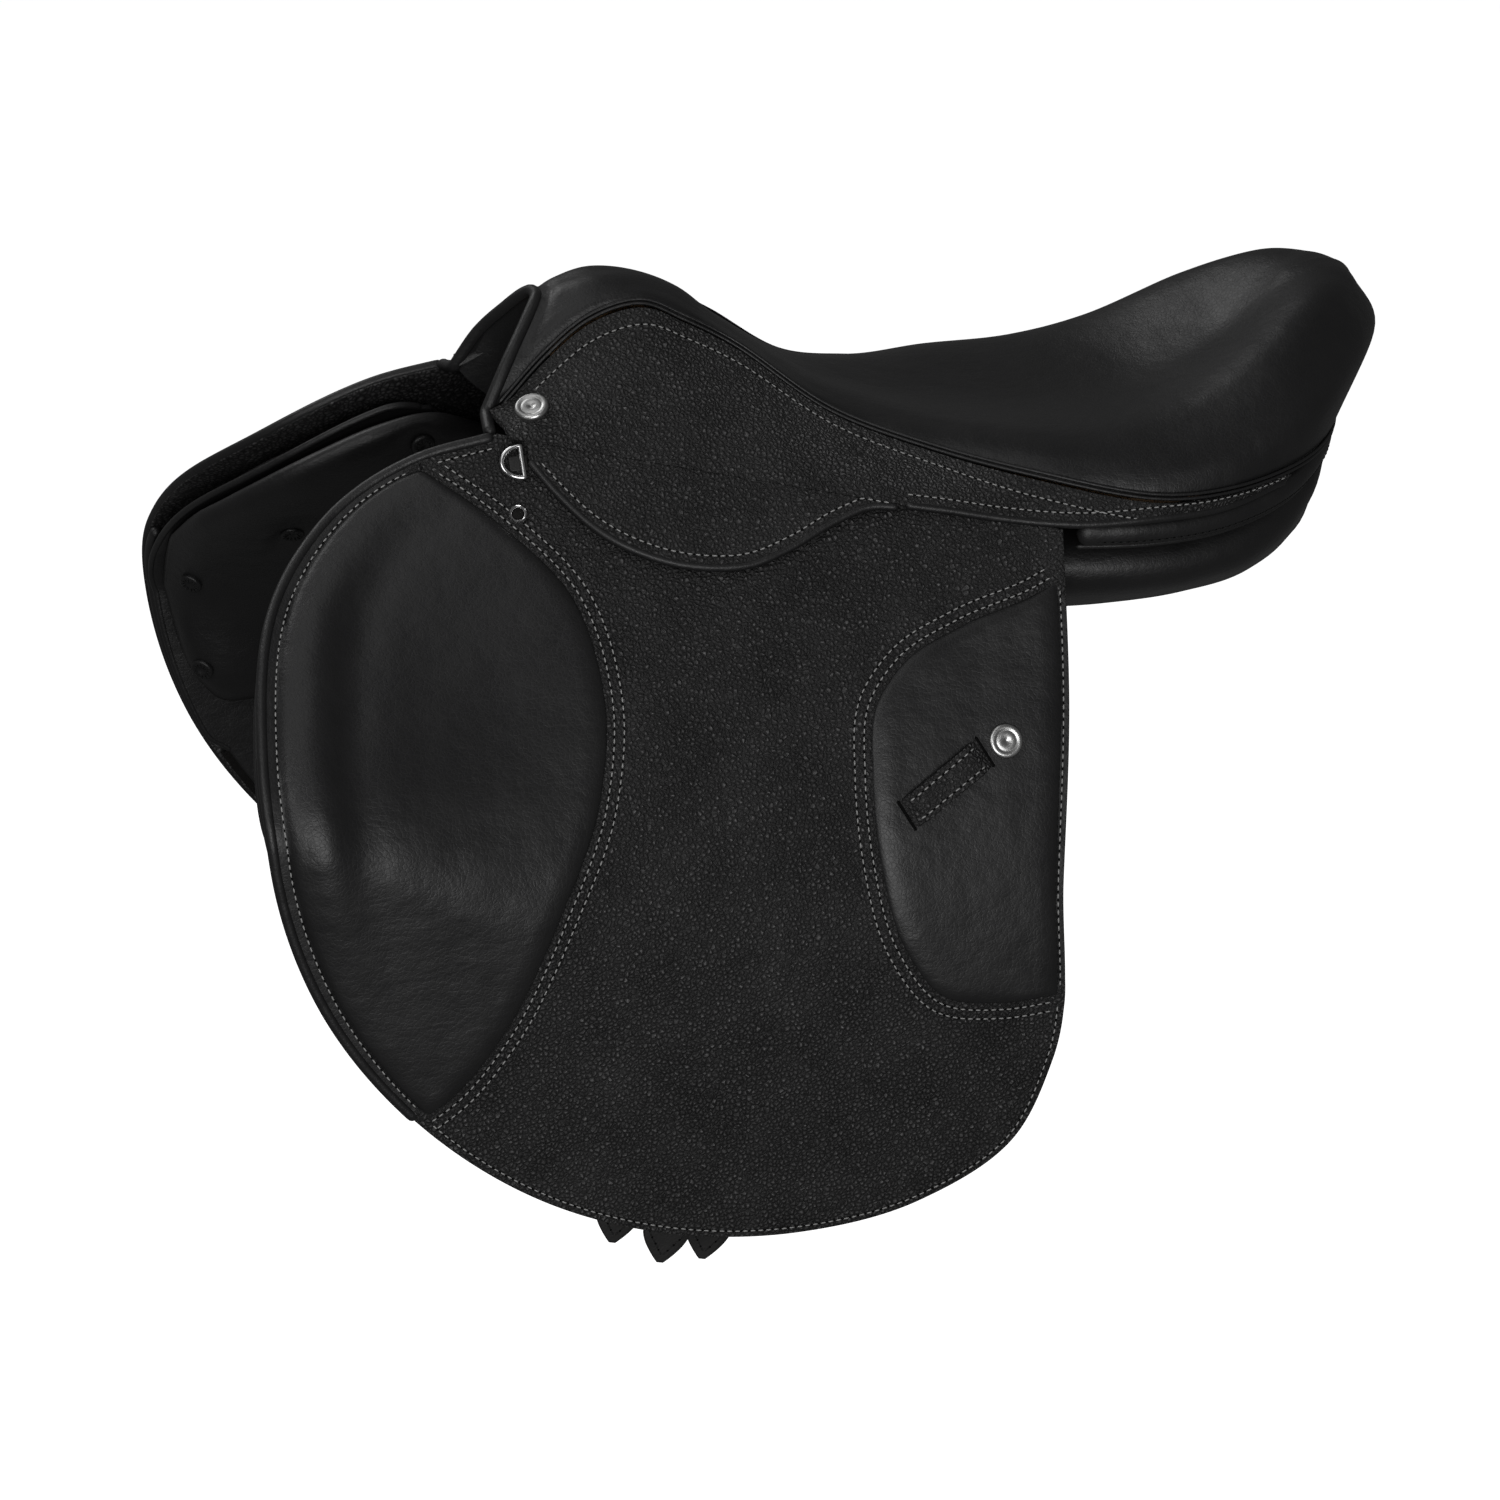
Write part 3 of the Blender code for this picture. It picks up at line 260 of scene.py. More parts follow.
def sheetMesh(name, grid, normals, thickness, finish, side=1, rounded=("end",), joined=()):
    # The grid, the same grid moved in by the thickness, and a rim between them that is a half
    # circle on the rounded sides and straight on the others. Sides: first and last row, start
    # and end column. A joined side meets another part of the same sheet and has no rim.
    rows, columns = grid.shape[:2]
    thickness = np.broadcast_to(thickness, grid.shape[:2])[..., None]
    under = grid - normals * thickness
    i = np.concatenate([np.zeros(columns - 1, int), np.arange(rows - 1), np.full(columns - 1, rows - 1),
                        np.arange(rows - 1, 0, -1)])
    j = np.concatenate([np.arange(columns - 1), np.full(rows - 1, columns - 1),
                        np.arange(columns - 1, 0, -1), np.zeros(rows - 1, int)])
    edgeOf = np.repeat(["first", "end", "last", "start"], [columns - 1, rows - 1, columns - 1, rows - 1])
    out = np.zeros_like(grid)
    out[0] += unit(grid[0] - grid[1]) * ("first" in rounded)
    out[-1] += unit(grid[-1] - grid[-2]) * ("last" in rounded)
    out[:, 0] += unit(grid[:, 0] - grid[:, 1]) * ("start" in rounded)
    out[:, -1] += unit(grid[:, -1] - grid[:, -2]) * ("end" in rounded)
    out -= (out * normals).sum(-1, keepdims=True) * normals
    out = unit(out) * thickness / 2
    middle, half = (grid + under)[i, j] / 2, (grid - under)[i, j] / 2
    arcs = [middle + half * math.cos(a) + out[i, j] * math.sin(a) for a in np.linspace(0, math.pi, 7)[1:-1]]
    count, ring = rows * columns, len(i)
    points = np.concatenate([grid.reshape(-1, 3), under.reshape(-1, 3), *arcs])
    around = i * columns + j
    loops = [around, *[2 * count + k * ring + np.arange(ring) for k in range(len(arcs))], count + around]
    kept = ~np.isin(edgeOf, joined)
    faces = [gridFaces(rows, columns), count + gridFaces(rows, columns)[:, ::-1]]
    for a, b in zip(loops, loops[1:]):
        faces.append(np.stack([a, np.roll(a, -1), np.roll(b, -1), b], 1)[kept])
    return makeMesh(name, points, np.concatenate(faces), finish, side)


def loftMesh(name, rings, finish, side=1):
    # closed rings joined in order, the first and the last drawn in to their middles
    caps = [np.broadcast_to(rings[k].mean(0), rings[k].shape)[None] for k in (0, -1)]
    points = np.concatenate([caps[0], rings, caps[1]])
    return makeMesh(name, points, gridFaces(len(points), rings.shape[1], closed=True), finish, side)


def tubeMesh(name, line, normals, radius, finish, side=1, flat=1.0, around=14, closed=False):
    # circles square to the line, squeezed by flat along the normals, with half-round ends
    along = unit(np.gradient(line, axis=0))
    if closed:
        along[[0, -1]] = unit(line[1] - line[-2])
    up = unit(normals - (normals * along).sum(1, keepdims=True) * along)
    across = np.cross(along, up)
    run = runOf(line)
    radius = np.broadcast_to(radius, len(line)).astype(float)
    if not closed:
        near = np.clip(np.minimum(run, run[-1] - run) / radius.max(), 0, 1)
        radius = radius * np.sqrt(np.clip(1 - (1 - near) ** 2, 0.0001, 1))
    turn = np.linspace(0, 2 * math.pi, around, endpoint=False)[None, :, None]
    rings = np.cos(turn) * up[:, None] * flat + np.sin(turn) * across[:, None]
    rings = line[:, None] + radius[:, None, None] * rings
    if closed:
        return makeMesh(name, rings, gridFaces(len(line), around, closed=True), finish, side)
    return loftMesh(name, rings, finish, side)


def tubeLine(points, count, radius):
    # even points on a curve, with extra ones near both ends for the half-round ends
    line = alongCurve(points, count)
    total = runOf(line)[-1]
    ends = radius * (1 - np.cos(np.linspace(0, math.pi / 2, 6)[:-1]))
    run = np.linspace(0, total, count)
    at = np.unique(np.concatenate([ends, run[(run > radius) & (run < total - radius)], total - ends]))
    return np.stack([np.interp(at, run, line[:, k]) for k in range(line.shape[1])], 1)


def turnedMesh(name, profile, place, normal, finish, side=1, around=48):
    # a profile of (radius, height) turned round the normal at a place
    profile = np.asarray(profile, float)
    normal = unit(np.asarray(normal, float))
    first, second = squareTo(normal)
    turn = np.linspace(0, 2 * math.pi, around, endpoint=False)[None, :, None]
    points = (np.asarray(place) + profile[:, :1, None] * (np.cos(turn) * first + np.sin(turn) * second)
              + profile[:, 1:, None] * normal)
    return makeMesh(name, points, gridFaces(len(profile), around, closed=True), finish, side)


# A stitch is a grain-of-rice shape, and between two stitches the thread goes down a hole.

stitchLook = {
    "pitch": 0.0042,
    "length": 0.0028,
    "width": 0.00085,
    "height": 0.00060,
    "hole": 0.00150,
    "rows": {},
}


def riceShape(rings, around):
    # rings of a ball with its poles at both ends of the first axis
    angle = np.linspace(0.0, math.pi, rings)
    turn = np.linspace(0, 2 * math.pi, around, endpoint=False)
    points = np.stack([np.repeat(-np.cos(angle), around), np.outer(np.sin(angle), np.cos(turn)).ravel(),
                       np.outer(np.sin(angle), np.sin(turn)).ravel()], 1)
    return points, gridFaces(rings, around, closed=True)


def addStitches(body, line, normals, thread="grey"):
    # notes a row: odd points are stitches, even ones holes
    count = max(int(runOf(line)[-1] / stitchLook["pitch"]), 2)
    both = evenly(np.concatenate([line, normals], 1), 2 * count + 1)
    spot, turn, along = both[:, :3], unit(both[:, 3:]), np.gradient(both[:, :3], axis=0)
    stitchLook["rows"].setdefault((body, thread), []).append((spot, along, turn))


def scattered(name, shape, sizes, spot, along, normals, finish, side):
    # copies of a small shape, each turned to its own direction and normal
    points, faces = shape
    along = unit(along)
    up = unit(normals - (normals * along).sum(1, keepdims=True) * along)
    axes = np.stack([along * sizes[0] / 2, np.cross(up, along) * sizes[1] / 2, up * sizes[2] / 2], 1)
    copies = spot[:, None] + np.einsum("pk,nkc->npc", points, axes)
    faces = faces[None] + (np.arange(len(spot)) * len(points))[:, None, None]
    return makeMesh(name, copies, faces.reshape(-1, 4), finish, side, sharp=180)


# Shader nodes.

class Signal:
    # a shader socket whose arithmetic adds Math nodes
    def __init__(self, finish, socket):
        self.finish, self.socket = finish, socket

    def maths(self, operation, *values):
        return self.finish.node("ShaderNodeMath", {"operation": operation}, values)

    def __add__(self, other): return self.maths("ADD", self, other)
    def __radd__(self, other): return self.maths("ADD", other, self)
    def __sub__(self, other): return self.maths("SUBTRACT", self, other)
    def __rsub__(self, other): return self.maths("SUBTRACT", other, self)
    def __mul__(self, other): return self.maths("MULTIPLY", self, other)
    def __rmul__(self, other): return self.maths("MULTIPLY", other, self)
    def least(self, other): return self.maths("MINIMUM", self, other)
    def most(self, other): return self.maths("MAXIMUM", self, other)
    def sine(self): return self.maths("SINE", self)


class Finish:
    # one material; node adds any node and shade fills the Principled shader
    def __init__(self, name):
        self.material = bpy.data.materials.new(name)
        self.material.use_nodes = True
        self.tree = self.material.node_tree
        self.shader = self.tree.nodes["Principled BSDF"]
        self.place = self.node("ShaderNodeTexCoord", output="Object")

    def node(self, kind, settings=None, values=(), output=0):
        made = self.tree.nodes.new(kind)
        for key, value in (settings or {}).items():
            setattr(made, key, value)
        for key, value in values.items() if isinstance(values, dict) else enumerate(values):
            self.feed(made.inputs[key], value)
        return Signal(self, made.outputs[output])

    def feed(self, socket, value):
        if isinstance(value, Signal):
            self.tree.links.new(value.socket, socket)
        else:
            socket.default_value = value

    def noise(self, scale, detail=3.0, rough=0.55, warp=0.0, place=None):
        return self.node("ShaderNodeTexNoise", None, {"Vector": place or self.place, "Scale": scale,
                         "Detail": detail, "Roughness": rough, "Distortion": warp})

    def cells(self, scale, feature, place=None):
        return self.node("ShaderNodeTexVoronoi", {"feature": feature}, {"Vector": place or self.place,
                         "Scale": scale}, "Distance")

    def wandering(self, amount, scale):
        # the place moved about by a noise colour, in metres
        push = self.node("ShaderNodeTexNoise", None, {"Vector": self.place, "Scale": scale, "Detail": 2.0},
                         "Color")
        centred = self.node("ShaderNodeVectorMath", {"operation": "SUBTRACT"}, (push, (0.5, 0.5, 0.5)))
        sized = self.node("ShaderNodeVectorMath", {"operation": "SCALE"}, {0: centred, "Scale": amount})
        return self.node("ShaderNodeVectorMath", {"operation": "ADD"}, (self.place, sized))

    def mixed(self, share, first, second):
        return self.node("ShaderNodeMix", {"data_type": "RGBA"}, {0: share, 6: colour4(first),
                         7: colour4(second)}, 2)

    def relief(self, height, depth, under=None):
        values = {"Height": height, "Distance": depth, "Strength": 1.0}
        if under is not None:
            values["Normal"] = under
        return self.node("ShaderNodeBump", None, values)

    def shade(self, **values):
        names = {"colour": "Base Color", "roughness": "Roughness", "metal": "Metallic", "normal": "Normal",
                 "specular": "Specular IOR Level"}
        for key, value in values.items():
            self.feed(self.shader.inputs[names[key]], value)
        return self.material


def colour4(value):
    return value if isinstance(value, Signal) else (*value, 1.0)


leather = {
    "calfDark": (0.0070, 0.0070, 0.0074),
    "calfLight": (0.0115, 0.0113, 0.0116),
    "calfGloss": 0.42,
    # the grain's two colours are painted light: the dark one is painted shade in the creases, the light one
    # painted sheen on the pebble tops
    "grainCreaseShade": (0.0006, 0.0006, 0.0007),
    "grainPebbleSheen": (0.0900, 0.0886, 0.0892),
    "grainGloss": 0.35,
    "pebble": 0.00235,          # width of one pebble of the grain
    "pebbleDepth": 0.00210,
    "specular": 0.42,
}


def smoothCalf(name, creases=0.0):
    # satin leather: soft waviness, fine pores and a few shallow creases
    f = Finish(name)
    wave = f.noise(38, 3.0)
    pores = f.noise(1500, 2.0, 0.6)
    net = f.cells(420, "DISTANCE_TO_EDGE", f.wandering(0.0014, 260))
    lines = (net * 5.0).least(1.0)
    pull = f.node("ShaderNodeMapping", None, {"Vector": f.place, "Scale": (0.35, 1.0, 1.0)})
    normal = f.relief(wave, 0.0012)
    normal = f.relief(f.noise(90, 4.0, 0.6, 0.4, pull), 0.0005 * creases, normal)
    normal = f.relief(pores * 0.35 + lines * 0.65, 0.00007, normal)
    tone = (wave * 1.4 - 0.2 + pores * 0.2).least(1.0).most(0.0)
    return f.shade(colour=f.mixed(tone, leather["calfDark"], leather["calfLight"]),
                   roughness=leather["calfGloss"] - 0.06 + wave * 0.12 + (1.0 - lines) * 0.06,
                   specular=leather["specular"], normal=normal)


def pebbledHide(name, pebble, depth, dark, light):
    # rounded pebbles of uneven size, with painted shade darkening the creases between them and painted sheen
    # lightening their tops
    f = Finish(name)
    moved = f.wandering(pebble * 0.9, 0.35 / pebble)
    edge = f.cells(1 / pebble, "DISTANCE_TO_EDGE", moved)
    dome = f.cells(1 / pebble, "F1", moved)
    fine = f.noise(2.2 / pebble, 3.0, 0.6)
    patch = f.noise(30, 2.0)
    raised = ((edge - 0.04) * 2.8).least(1.0).most(0.0)
    height = raised * 0.75 + (1.0 - dome * dome) * 0.25 + fine * 0.22
    # colour: painted shade in the creases and painted sheen on the raised tops, plus random tone from the
    # fine noise and the patches
    tone = (raised * 0.75 + fine * 0.30 + patch * 0.30 - 0.22).least(1.0).most(0.0)
    return f.shade(colour=f.mixed(tone, dark, light),
                   roughness=leather["grainGloss"] + 0.20 * (1.0 - raised) + (patch - 0.5) * 0.08,
                   specular=leather["specular"], normal=f.relief(height, depth))


def strapHide(name):
    # smooth leather with small pores, a little brown
    f = Finish(name)
    wave = f.noise(60, 3.0)
    pores = f.cells(900, "F1", f.wandering(0.001, 400))
    normal = f.relief(wave, 0.0005)
    return f.shade(colour=f.mixed(wave, (0.006, 0.006, 0.006), (0.014, 0.0135, 0.013)),
                   roughness=0.46 + wave * 0.14, specular=0.4, normal=f.relief(pores, 0.00008, normal))


def twistedThread(name, dark, light):
    # fibres of a waxed thread
    f = Finish(name)
    strand = f.noise(2600, 2.0)
    return f.shade(colour=f.mixed(strand, dark, light), roughness=0.55 + strand * 0.2, specular=0.3,
                   normal=f.relief(strand, 0.0001))


def needleHoleShade(name):
    # dull near-black: painted shade standing for the inside of a hole
    f = Finish(name)
    grit = f.noise(900, 2.0)
    return f.shade(colour=f.mixed(grit, (0.0010, 0.0010, 0.0010), (0.0030, 0.0030, 0.0030)),
                   roughness=0.8 + grit * 0.15, specular=0.1, normal=f.relief(grit, 0.00005))


def brushedSteel(name):
    # fine streaks across, with a little tarnish
    f = Finish(name)
    stretched = f.node("ShaderNodeMapping", None, {"Vector": f.place, "Scale": (1.0, 1.0, 16.0)})
    streak = f.noise(320, 3.0, 0.6, 0.0, stretched)
    stain = f.noise(60, 2.0)
    return f.shade(colour=f.mixed(stain, (0.36, 0.36, 0.36), (0.60, 0.60, 0.59)), metal=1.0,
                   roughness=0.24 + streak * 0.18, normal=f.relief(streak, 0.00004))


def polishedChrome(name):
    # mirror finish under a faint haze
    f = Finish(name)
    haze = f.noise(240, 2.0)
    return f.shade(colour=f.mixed(haze, (0.66, 0.66, 0.66), (0.82, 0.82, 0.82)), metal=1.0,
                   roughness=0.09 + haze * 0.10, normal=f.relief(haze, 0.00001))


def pressedFelt(name):
    # tangled fibres in soft clumps
    f = Finish(name)
    fibre = f.noise(900, 5.0, 0.75, 2.5)
    clump = f.noise(160, 3.0)
    return f.shade(colour=f.mixed(fibre * 0.6 + clump * 0.4, (0.004, 0.004, 0.004), (0.022, 0.021, 0.020)),
                   roughness=0.9 + fibre * 0.1, specular=0.1,
                   normal=f.relief(fibre * 0.6 + clump * 0.4, 0.0011))


def openFoam(name):
    # open cells
    f = Finish(name)
    pores = f.cells(700, "F1")
    return f.shade(colour=f.mixed(pores, (0.05, 0.05, 0.05), (0.02, 0.02, 0.02)), roughness=0.9 + pores * 0.1,
                   normal=f.relief(pores, 0.0004))


def wovenWebbing(name):
    # over and under threads as two crossed sine waves
    f = Finish(name)
    along, across = (f.node("ShaderNodeSeparateXYZ", None, (f.place,), k) for k in (0, 1))
    ribs = (along * 3900.0).sine() * 0.5 + 0.5
    cross = (across * 2600.0).sine() * 0.5 + 0.5
    weave = ribs * 0.6 + cross * 0.4
    return f.shade(colour=f.mixed(weave, (0.008, 0.008, 0.008), (0.032, 0.032, 0.032)),
                   roughness=0.75 + weave * 0.15, normal=f.relief(weave, 0.0004))


def laminatedWood(name):
    # beech plies seen as stretched grain
    f = Finish(name)
    stretched = f.node("ShaderNodeMapping", None, {"Vector": f.place, "Scale": (1.0, 9.0, 9.0)})
    grain = f.noise(26, 5.0, 0.65, 0.6, stretched)
    return f.shade(colour=f.mixed(grain, (0.16, 0.085, 0.035), (0.42, 0.27, 0.14)),
                   roughness=0.45 + grain * 0.2, normal=f.relief(grain, 0.0002))


finishes = {
    "seat": smoothCalf("seatCalf", 0.6),
    "pad": smoothCalf("padCalf", 0.8),
    "panel": smoothCalf("panelCalf", 1.0),
    "roll": smoothCalf("rollCalf", 0.3),
    "hide": pebbledHide("pebbledHide", leather["pebble"], leather["pebbleDepth"], leather["grainCreaseShade"],
                        leather["grainPebbleSheen"]),
    "coarse": pebbledHide("coarseHide", 0.0027, 0.00045, leather["grainCreaseShade"], leather["grainPebbleSheen"]),
    "strap": strapHide("strapHide"),
    "greyThread": twistedThread("greyThread", (0.16, 0.16, 0.16), (0.42, 0.42, 0.41)),
    "blackThread": twistedThread("blackThread", (0.003, 0.003, 0.003), (0.014, 0.014, 0.014)),
    "hole": needleHoleShade("needleHoleShade"),
    "steel": brushedSteel("brushedSteel"),
    "chrome": polishedChrome("polishedChrome"),
    "felt": pressedFelt("pressedFelt"),
    "foam": openFoam("openFoam"),
    "webbing": wovenWebbing("wovenWebbing"),
    "wood": laminatedWood("laminatedWood"),
}
print("finishes made:", len(finishes))


def settle(made, body, replaces=()):
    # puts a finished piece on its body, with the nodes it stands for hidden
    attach(made, body)
    if replaces:
        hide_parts(*replaces)
    return made


def bothSides(name, build, shape, finish, part, node=None, fill=None, slot=None, **how):
    # the same piece for each side; part is the body's name without the side, or the root's
    for sideName, side in sides.items():
        made = build(f"{sideName}{name[0].upper()}{name[1:]}", *shape, finishes[finish], side=side, **how)
        body = part if part == "saddle_frame" else f"{sideName}_{part}"
        settle(made, body, [f"{sideName}_{node}"] if node else ())


# Seat.

seat = {
    "middle": [(-0.179, 0, 0.172), (-0.172, 0, 0.176), (-0.153, 0, 0.180), (-0.130, 0, 0.177),
               (-0.108, 0, 0.167), (-0.086, 0, 0.149), (-0.042, 0, 0.119), (0.006, 0, 0.102),
               (0.052, 0, 0.094), (0.100, 0, 0.091), (0.145, 0, 0.097), (0.188, 0, 0.117),
               (0.212, 0, 0.136), (0.227, 0, 0.149), (0.234, 0, 0.153)],
    "ridge": [(-0.190, 0.020, 0.160), (-0.176, 0.018, 0.170), (-0.156, 0.017, 0.177),
              (-0.132, 0.016, 0.175), (-0.110, 0.016, 0.165), (-0.086, 0.018, 0.147),
              (-0.042, 0.032, 0.118), (0.006, 0.054, 0.104), (0.054, 0.080, 0.099),
              (0.104, 0.094, 0.097), (0.150, 0.095, 0.105), (0.200, 0.080, 0.128),
              (0.238, 0.052, 0.145), (0.261, 0.026, 0.147), (0.268, 0, 0.147)],
    "wall": [(-0.203, 0.033, 0.143), (-0.183, 0.028, 0.159), (-0.160, 0.025, 0.171),
             (-0.134, 0.024, 0.173), (-0.112, 0.025, 0.163), (-0.085, 0.028, 0.145),
             (-0.041, 0.045, 0.115), (0.006, 0.070, 0.101), (0.056, 0.098, 0.094),
             (0.110, 0.114, 0.087), (0.158, 0.114, 0.088), (0.212, 0.096, 0.104),
             (0.250, 0.062, 0.119), (0.271, 0.030, 0.122), (0.276, 0, 0.122)],
    "seam": [(-0.214, 0.040, 0.124), (-0.188, 0.032, 0.147), (-0.163, 0.028, 0.164),
             (-0.136, 0.027, 0.170), (-0.113, 0.028, 0.160), (-0.084, 0.032, 0.143),
             (-0.041, 0.052, 0.112), (0.006, 0.080, 0.096), (0.057, 0.108, 0.085),
             (0.113, 0.122, 0.073), (0.158, 0.118, 0.071), (0.203, 0.099, 0.075),
             (0.231, 0.072, 0.081), (0.245, 0.038, 0.088), (0.251, 0, 0.091)],
    "railAt": (-0.6, 0.0, 0.6, 0.82, 1.0),
    "tuck": 0.0016,           # how far the cover dips at its seam
    "tuckWidth": 0.007,
    "ridgeRadius": 0.00095,   # the two welts of the seam
    "ridgeApart": 0.00115,
    "thick": 0.0026,
    "frontReach": 0.0052,     # how far the front goes on, to the pommel's binding
    "foam": (0.9, 11.6),      # stations between which the foam lies
    "foamReach": 0.44,
}


def seatSurface(s, t):
    # s counts stations along the rails, t runs across: 0 on the middle line, 1 and -1 at the seams
    stations = np.arange(len(seat["middle"]))
    rails = [smoothThrough(s, stations, seat[rail]) for rail in ("middle", "ridge", "wall", "seam")]
    values = np.stack([mirrored(rails[1]), *rails])
    knots = np.array(seat["railAt"])
    slopes = np.gradient(values, knots, axis=0)
    index = np.clip(np.searchsorted(knots, np.abs(t), side="right") - 1, 0, 3)
    step = (knots[index + 1] - knots[index])[..., None]
    part = ((np.abs(t) - knots[index]) / step[..., 0])[..., None]

    def chosen(table, shift):
        return np.take_along_axis(table, (index + shift)[None, ..., None], 0)[0]

    points = cubic(part, chosen(values, 0), step * chosen(slopes, 0),
                   chosen(values, 1), step * chosen(slopes, 1))
    return points * np.stack([np.ones_like(t), np.where(t < 0, -1, 1), np.ones_like(t)], -1)


def seatPiece(firstS, lastS, reach, rows, columns):
    # an even grid on the seat, out to a share of its width
    s, t = np.meshgrid(np.linspace(firstS, lastS, rows), reach * np.linspace(-1, 1, columns), indexing="ij")
    return seatSurface(s, t), s, t


def makeSeat():
    # the cover dips by a quarter circle at its seam, where two welts run; the foam lies under it
    grid, s, t = seatPiece(0, 14, 1.0, 190, 97)
    grid[..., 0] -= seat["frontReach"] * np.clip(1 - s / 0.35, 0, 1) ** 2
    normals = gridNormals(grid, (0, 0, 1))
    normals[-1, :, 1] = 0
    normals = unit(normals)
    toSeam = np.minimum(runAlong(grid), runBack(grid))
    grid = grid - normals * (seat["tuck"] * (1 - swell(toSeam, seat["tuckWidth"])))[..., None]
    cover = sheetMesh("seatCover", grid, normals, seat["thick"], finishes["seat"], joined=("last",),
                      rounded=())
    settle(cover, "saddle_frame", ["seat_cover"])

    line = bothHalves(seatSurface(np.linspace(0.02, 14, 260), np.ones(260)))
    outwards = gridNormals(seatPiece(0.02, 14, 1.0, 260, 97)[0], (0, 0, 1))[:, -1]
    outwards[-1] = (1, 0, 0)
    outwards = unit(bothHalves(outwards) + unit(line * np.array([0.3, 1, 0])) * 0.6)
    across = np.cross(unit(np.gradient(line, axis=0)), outwards)
    for name, shift, node in (("upperSeatWelt", 1, ["seat_piping"]), ("lowerSeatWelt", -1, [])):
        place = line + across * seat["ridgeApart"] * shift + outwards * 0.0004
        welt = tubeMesh(name, place, outwards, seat["ridgeRadius"], finishes["roll"], around=10)
        settle(welt, "saddle_frame", node)

    first, last = seat["foam"]
    pillow, s, t = seatPiece(first, last, seat["foamReach"], 60, 25)
    edge = np.minimum(swell(np.minimum(s - first, last - s), 1.0), swell(seat["foamReach"] - np.abs(t), 0.10))
    pillow[..., 2] -= 0.0050 + 0.0025 * (1 - edge)
    foam = sheetMesh("seatFoam", pillow, gridNormals(pillow, (0, 0, 1)), 0.0028 + 0.003 * edge,
                     finishes["foam"], rounded=("first", "last", "start", "end"))
    settle(foam, "saddle_frame", ["seat_foam"])


makeSeat()
print("seat made")


# Skirt: a fixed band under the seat's seam, and the lobe that lifts over the stirrup bar.

skirt = {
    "last": 10.86,            # seat station where the band ends
    "belowSeam": 0.0030,
    "lobeX": (-0.207, -0.020),
    "lobeEdge": [(-0.207, 0.104), (-0.195, 0.089), (-0.178, 0.073), (-0.150, 0.059), (-0.129, 0.054),
                 (-0.103, 0.053), (-0.080, 0.059), (-0.055, 0.069), (-0.034, 0.0745), (-0.020, 0.0735)],
    "stripEdge": [(-0.020, 0.1122, 0.0775), (0.008, 0.116, 0.0725), (0.032, 0.119, 0.0675),
                  (0.074, 0.1260, 0.0625), (0.112, 0.1280, 0.0625), (0.158, 0.119, 0.0625),
                  (0.196, 0.103, 0.068)],
    "thick": 0.0036,
    "rollRadius": 0.0022,
    "edgeStitch": 0.0058,     # rows of stitches, from the lower edge and from the seat's seam
    "seamStitch": 0.0095,
    "proud": flapShape["proud"] - 0.0004,
    "forward": 0.0075,        # how far the band's front goes on, to the pommel's binding
}


def bandBottom(x):
    # the hinge line as far as the lobe reaches, then the strip's own lower edge
    strip = np.array(skirt["stripEdge"])
    edge = smoothThrough(x, strip[:, 0], strip[:, 1:])
    line = np.stack([x, hingeY(x), hingeZ(x) + 0.0003], -1)
    own = np.stack([x, edge[..., 0], np.maximum(edge[..., 1], line[..., 2])], -1)
    behind = np.clip((x + 0.020) / 0.004, 0, 1)[..., None]
    return line * (1 - behind) + own * behind


def skirtBand():
    # rows follow the seam; each row is a cubic that leaves the lower edge along the flap's slope
    s = np.linspace(0.02, skirt["last"], 240)
    seam = seatSurface(s, np.ones_like(s))
    towards = unit(bandBottom(np.maximum(seam[:, 0], -0.205)) - seam)
    top = seam + towards * skirt["belowSeam"] + np.array([0, 0.0018, 0])
    bottom = bandBottom(np.clip(top[:, 0], -0.214, 0.196))
    forward = skirt["forward"] * np.clip(1 - (s - 0.02) / 0.30, 0, 1) ** 2
    top[:, 0] -= forward
    bottom[:, 0] -= forward * 0.35
    v = np.linspace(0, 1, 30)[None, :, None]
    reach = bottom - top
    size = np.linalg.norm(reach, axis=1, keepdims=True)
    slope = (flapY(bottom[:, 0], bottom[:, 2] + 0.001) - flapY(bottom[:, 0], bottom[:, 2] - 0.001)) / 0.002
    down = unit(np.stack([np.zeros_like(slope), -slope, -np.ones_like(slope)], -1)) * size
    return cubic(v, top[:, None], reach[:, None], bottom[:, None], down[:, None])


def skirtLobe():
    # straight lines from the hinge to the lobe's edge, raised off the flap by a constant height
    # and drawn to the hinge line near the top
    x = np.linspace(*skirt["lobeX"], 160)
    top = np.stack([x, hingeZ(x)], 1)
    line = np.stack([x, hingeY(x), hingeZ(x)], 1)
    for _ in range(3):       # moves the top down the flap until the lifted sheet meets the hinge line
        top = top + (line - onFlap(top, skirt["proud"]))[:, [0, 2]]
    places = ruled(top, alongCurve(skirt["lobeEdge"], 160), shares(40, 0.3))
    grid = onFlap(places, skirt["proud"])
    near = np.clip(1 - runAlong(grid) / 0.040, 0, 1)[..., None] ** 2
    return grid + (line - grid[:, 0])[:, None] * near


band = skirtBand()
lobe = skirtLobe()
bandNormals, lobeNormals = gridNormals(band), gridNormals(lobe)
joinEnd = int(np.searchsorted(band[:, -1, 0], skirt["lobeX"][1]))


def edgeRoll(grid, normals):
    # the bound lower edge: a roll along the last column, half sunk in the leather
    return grid[:, -1] - normals[:, -1] * skirt["thick"] * 0.45, normals[:, -1]


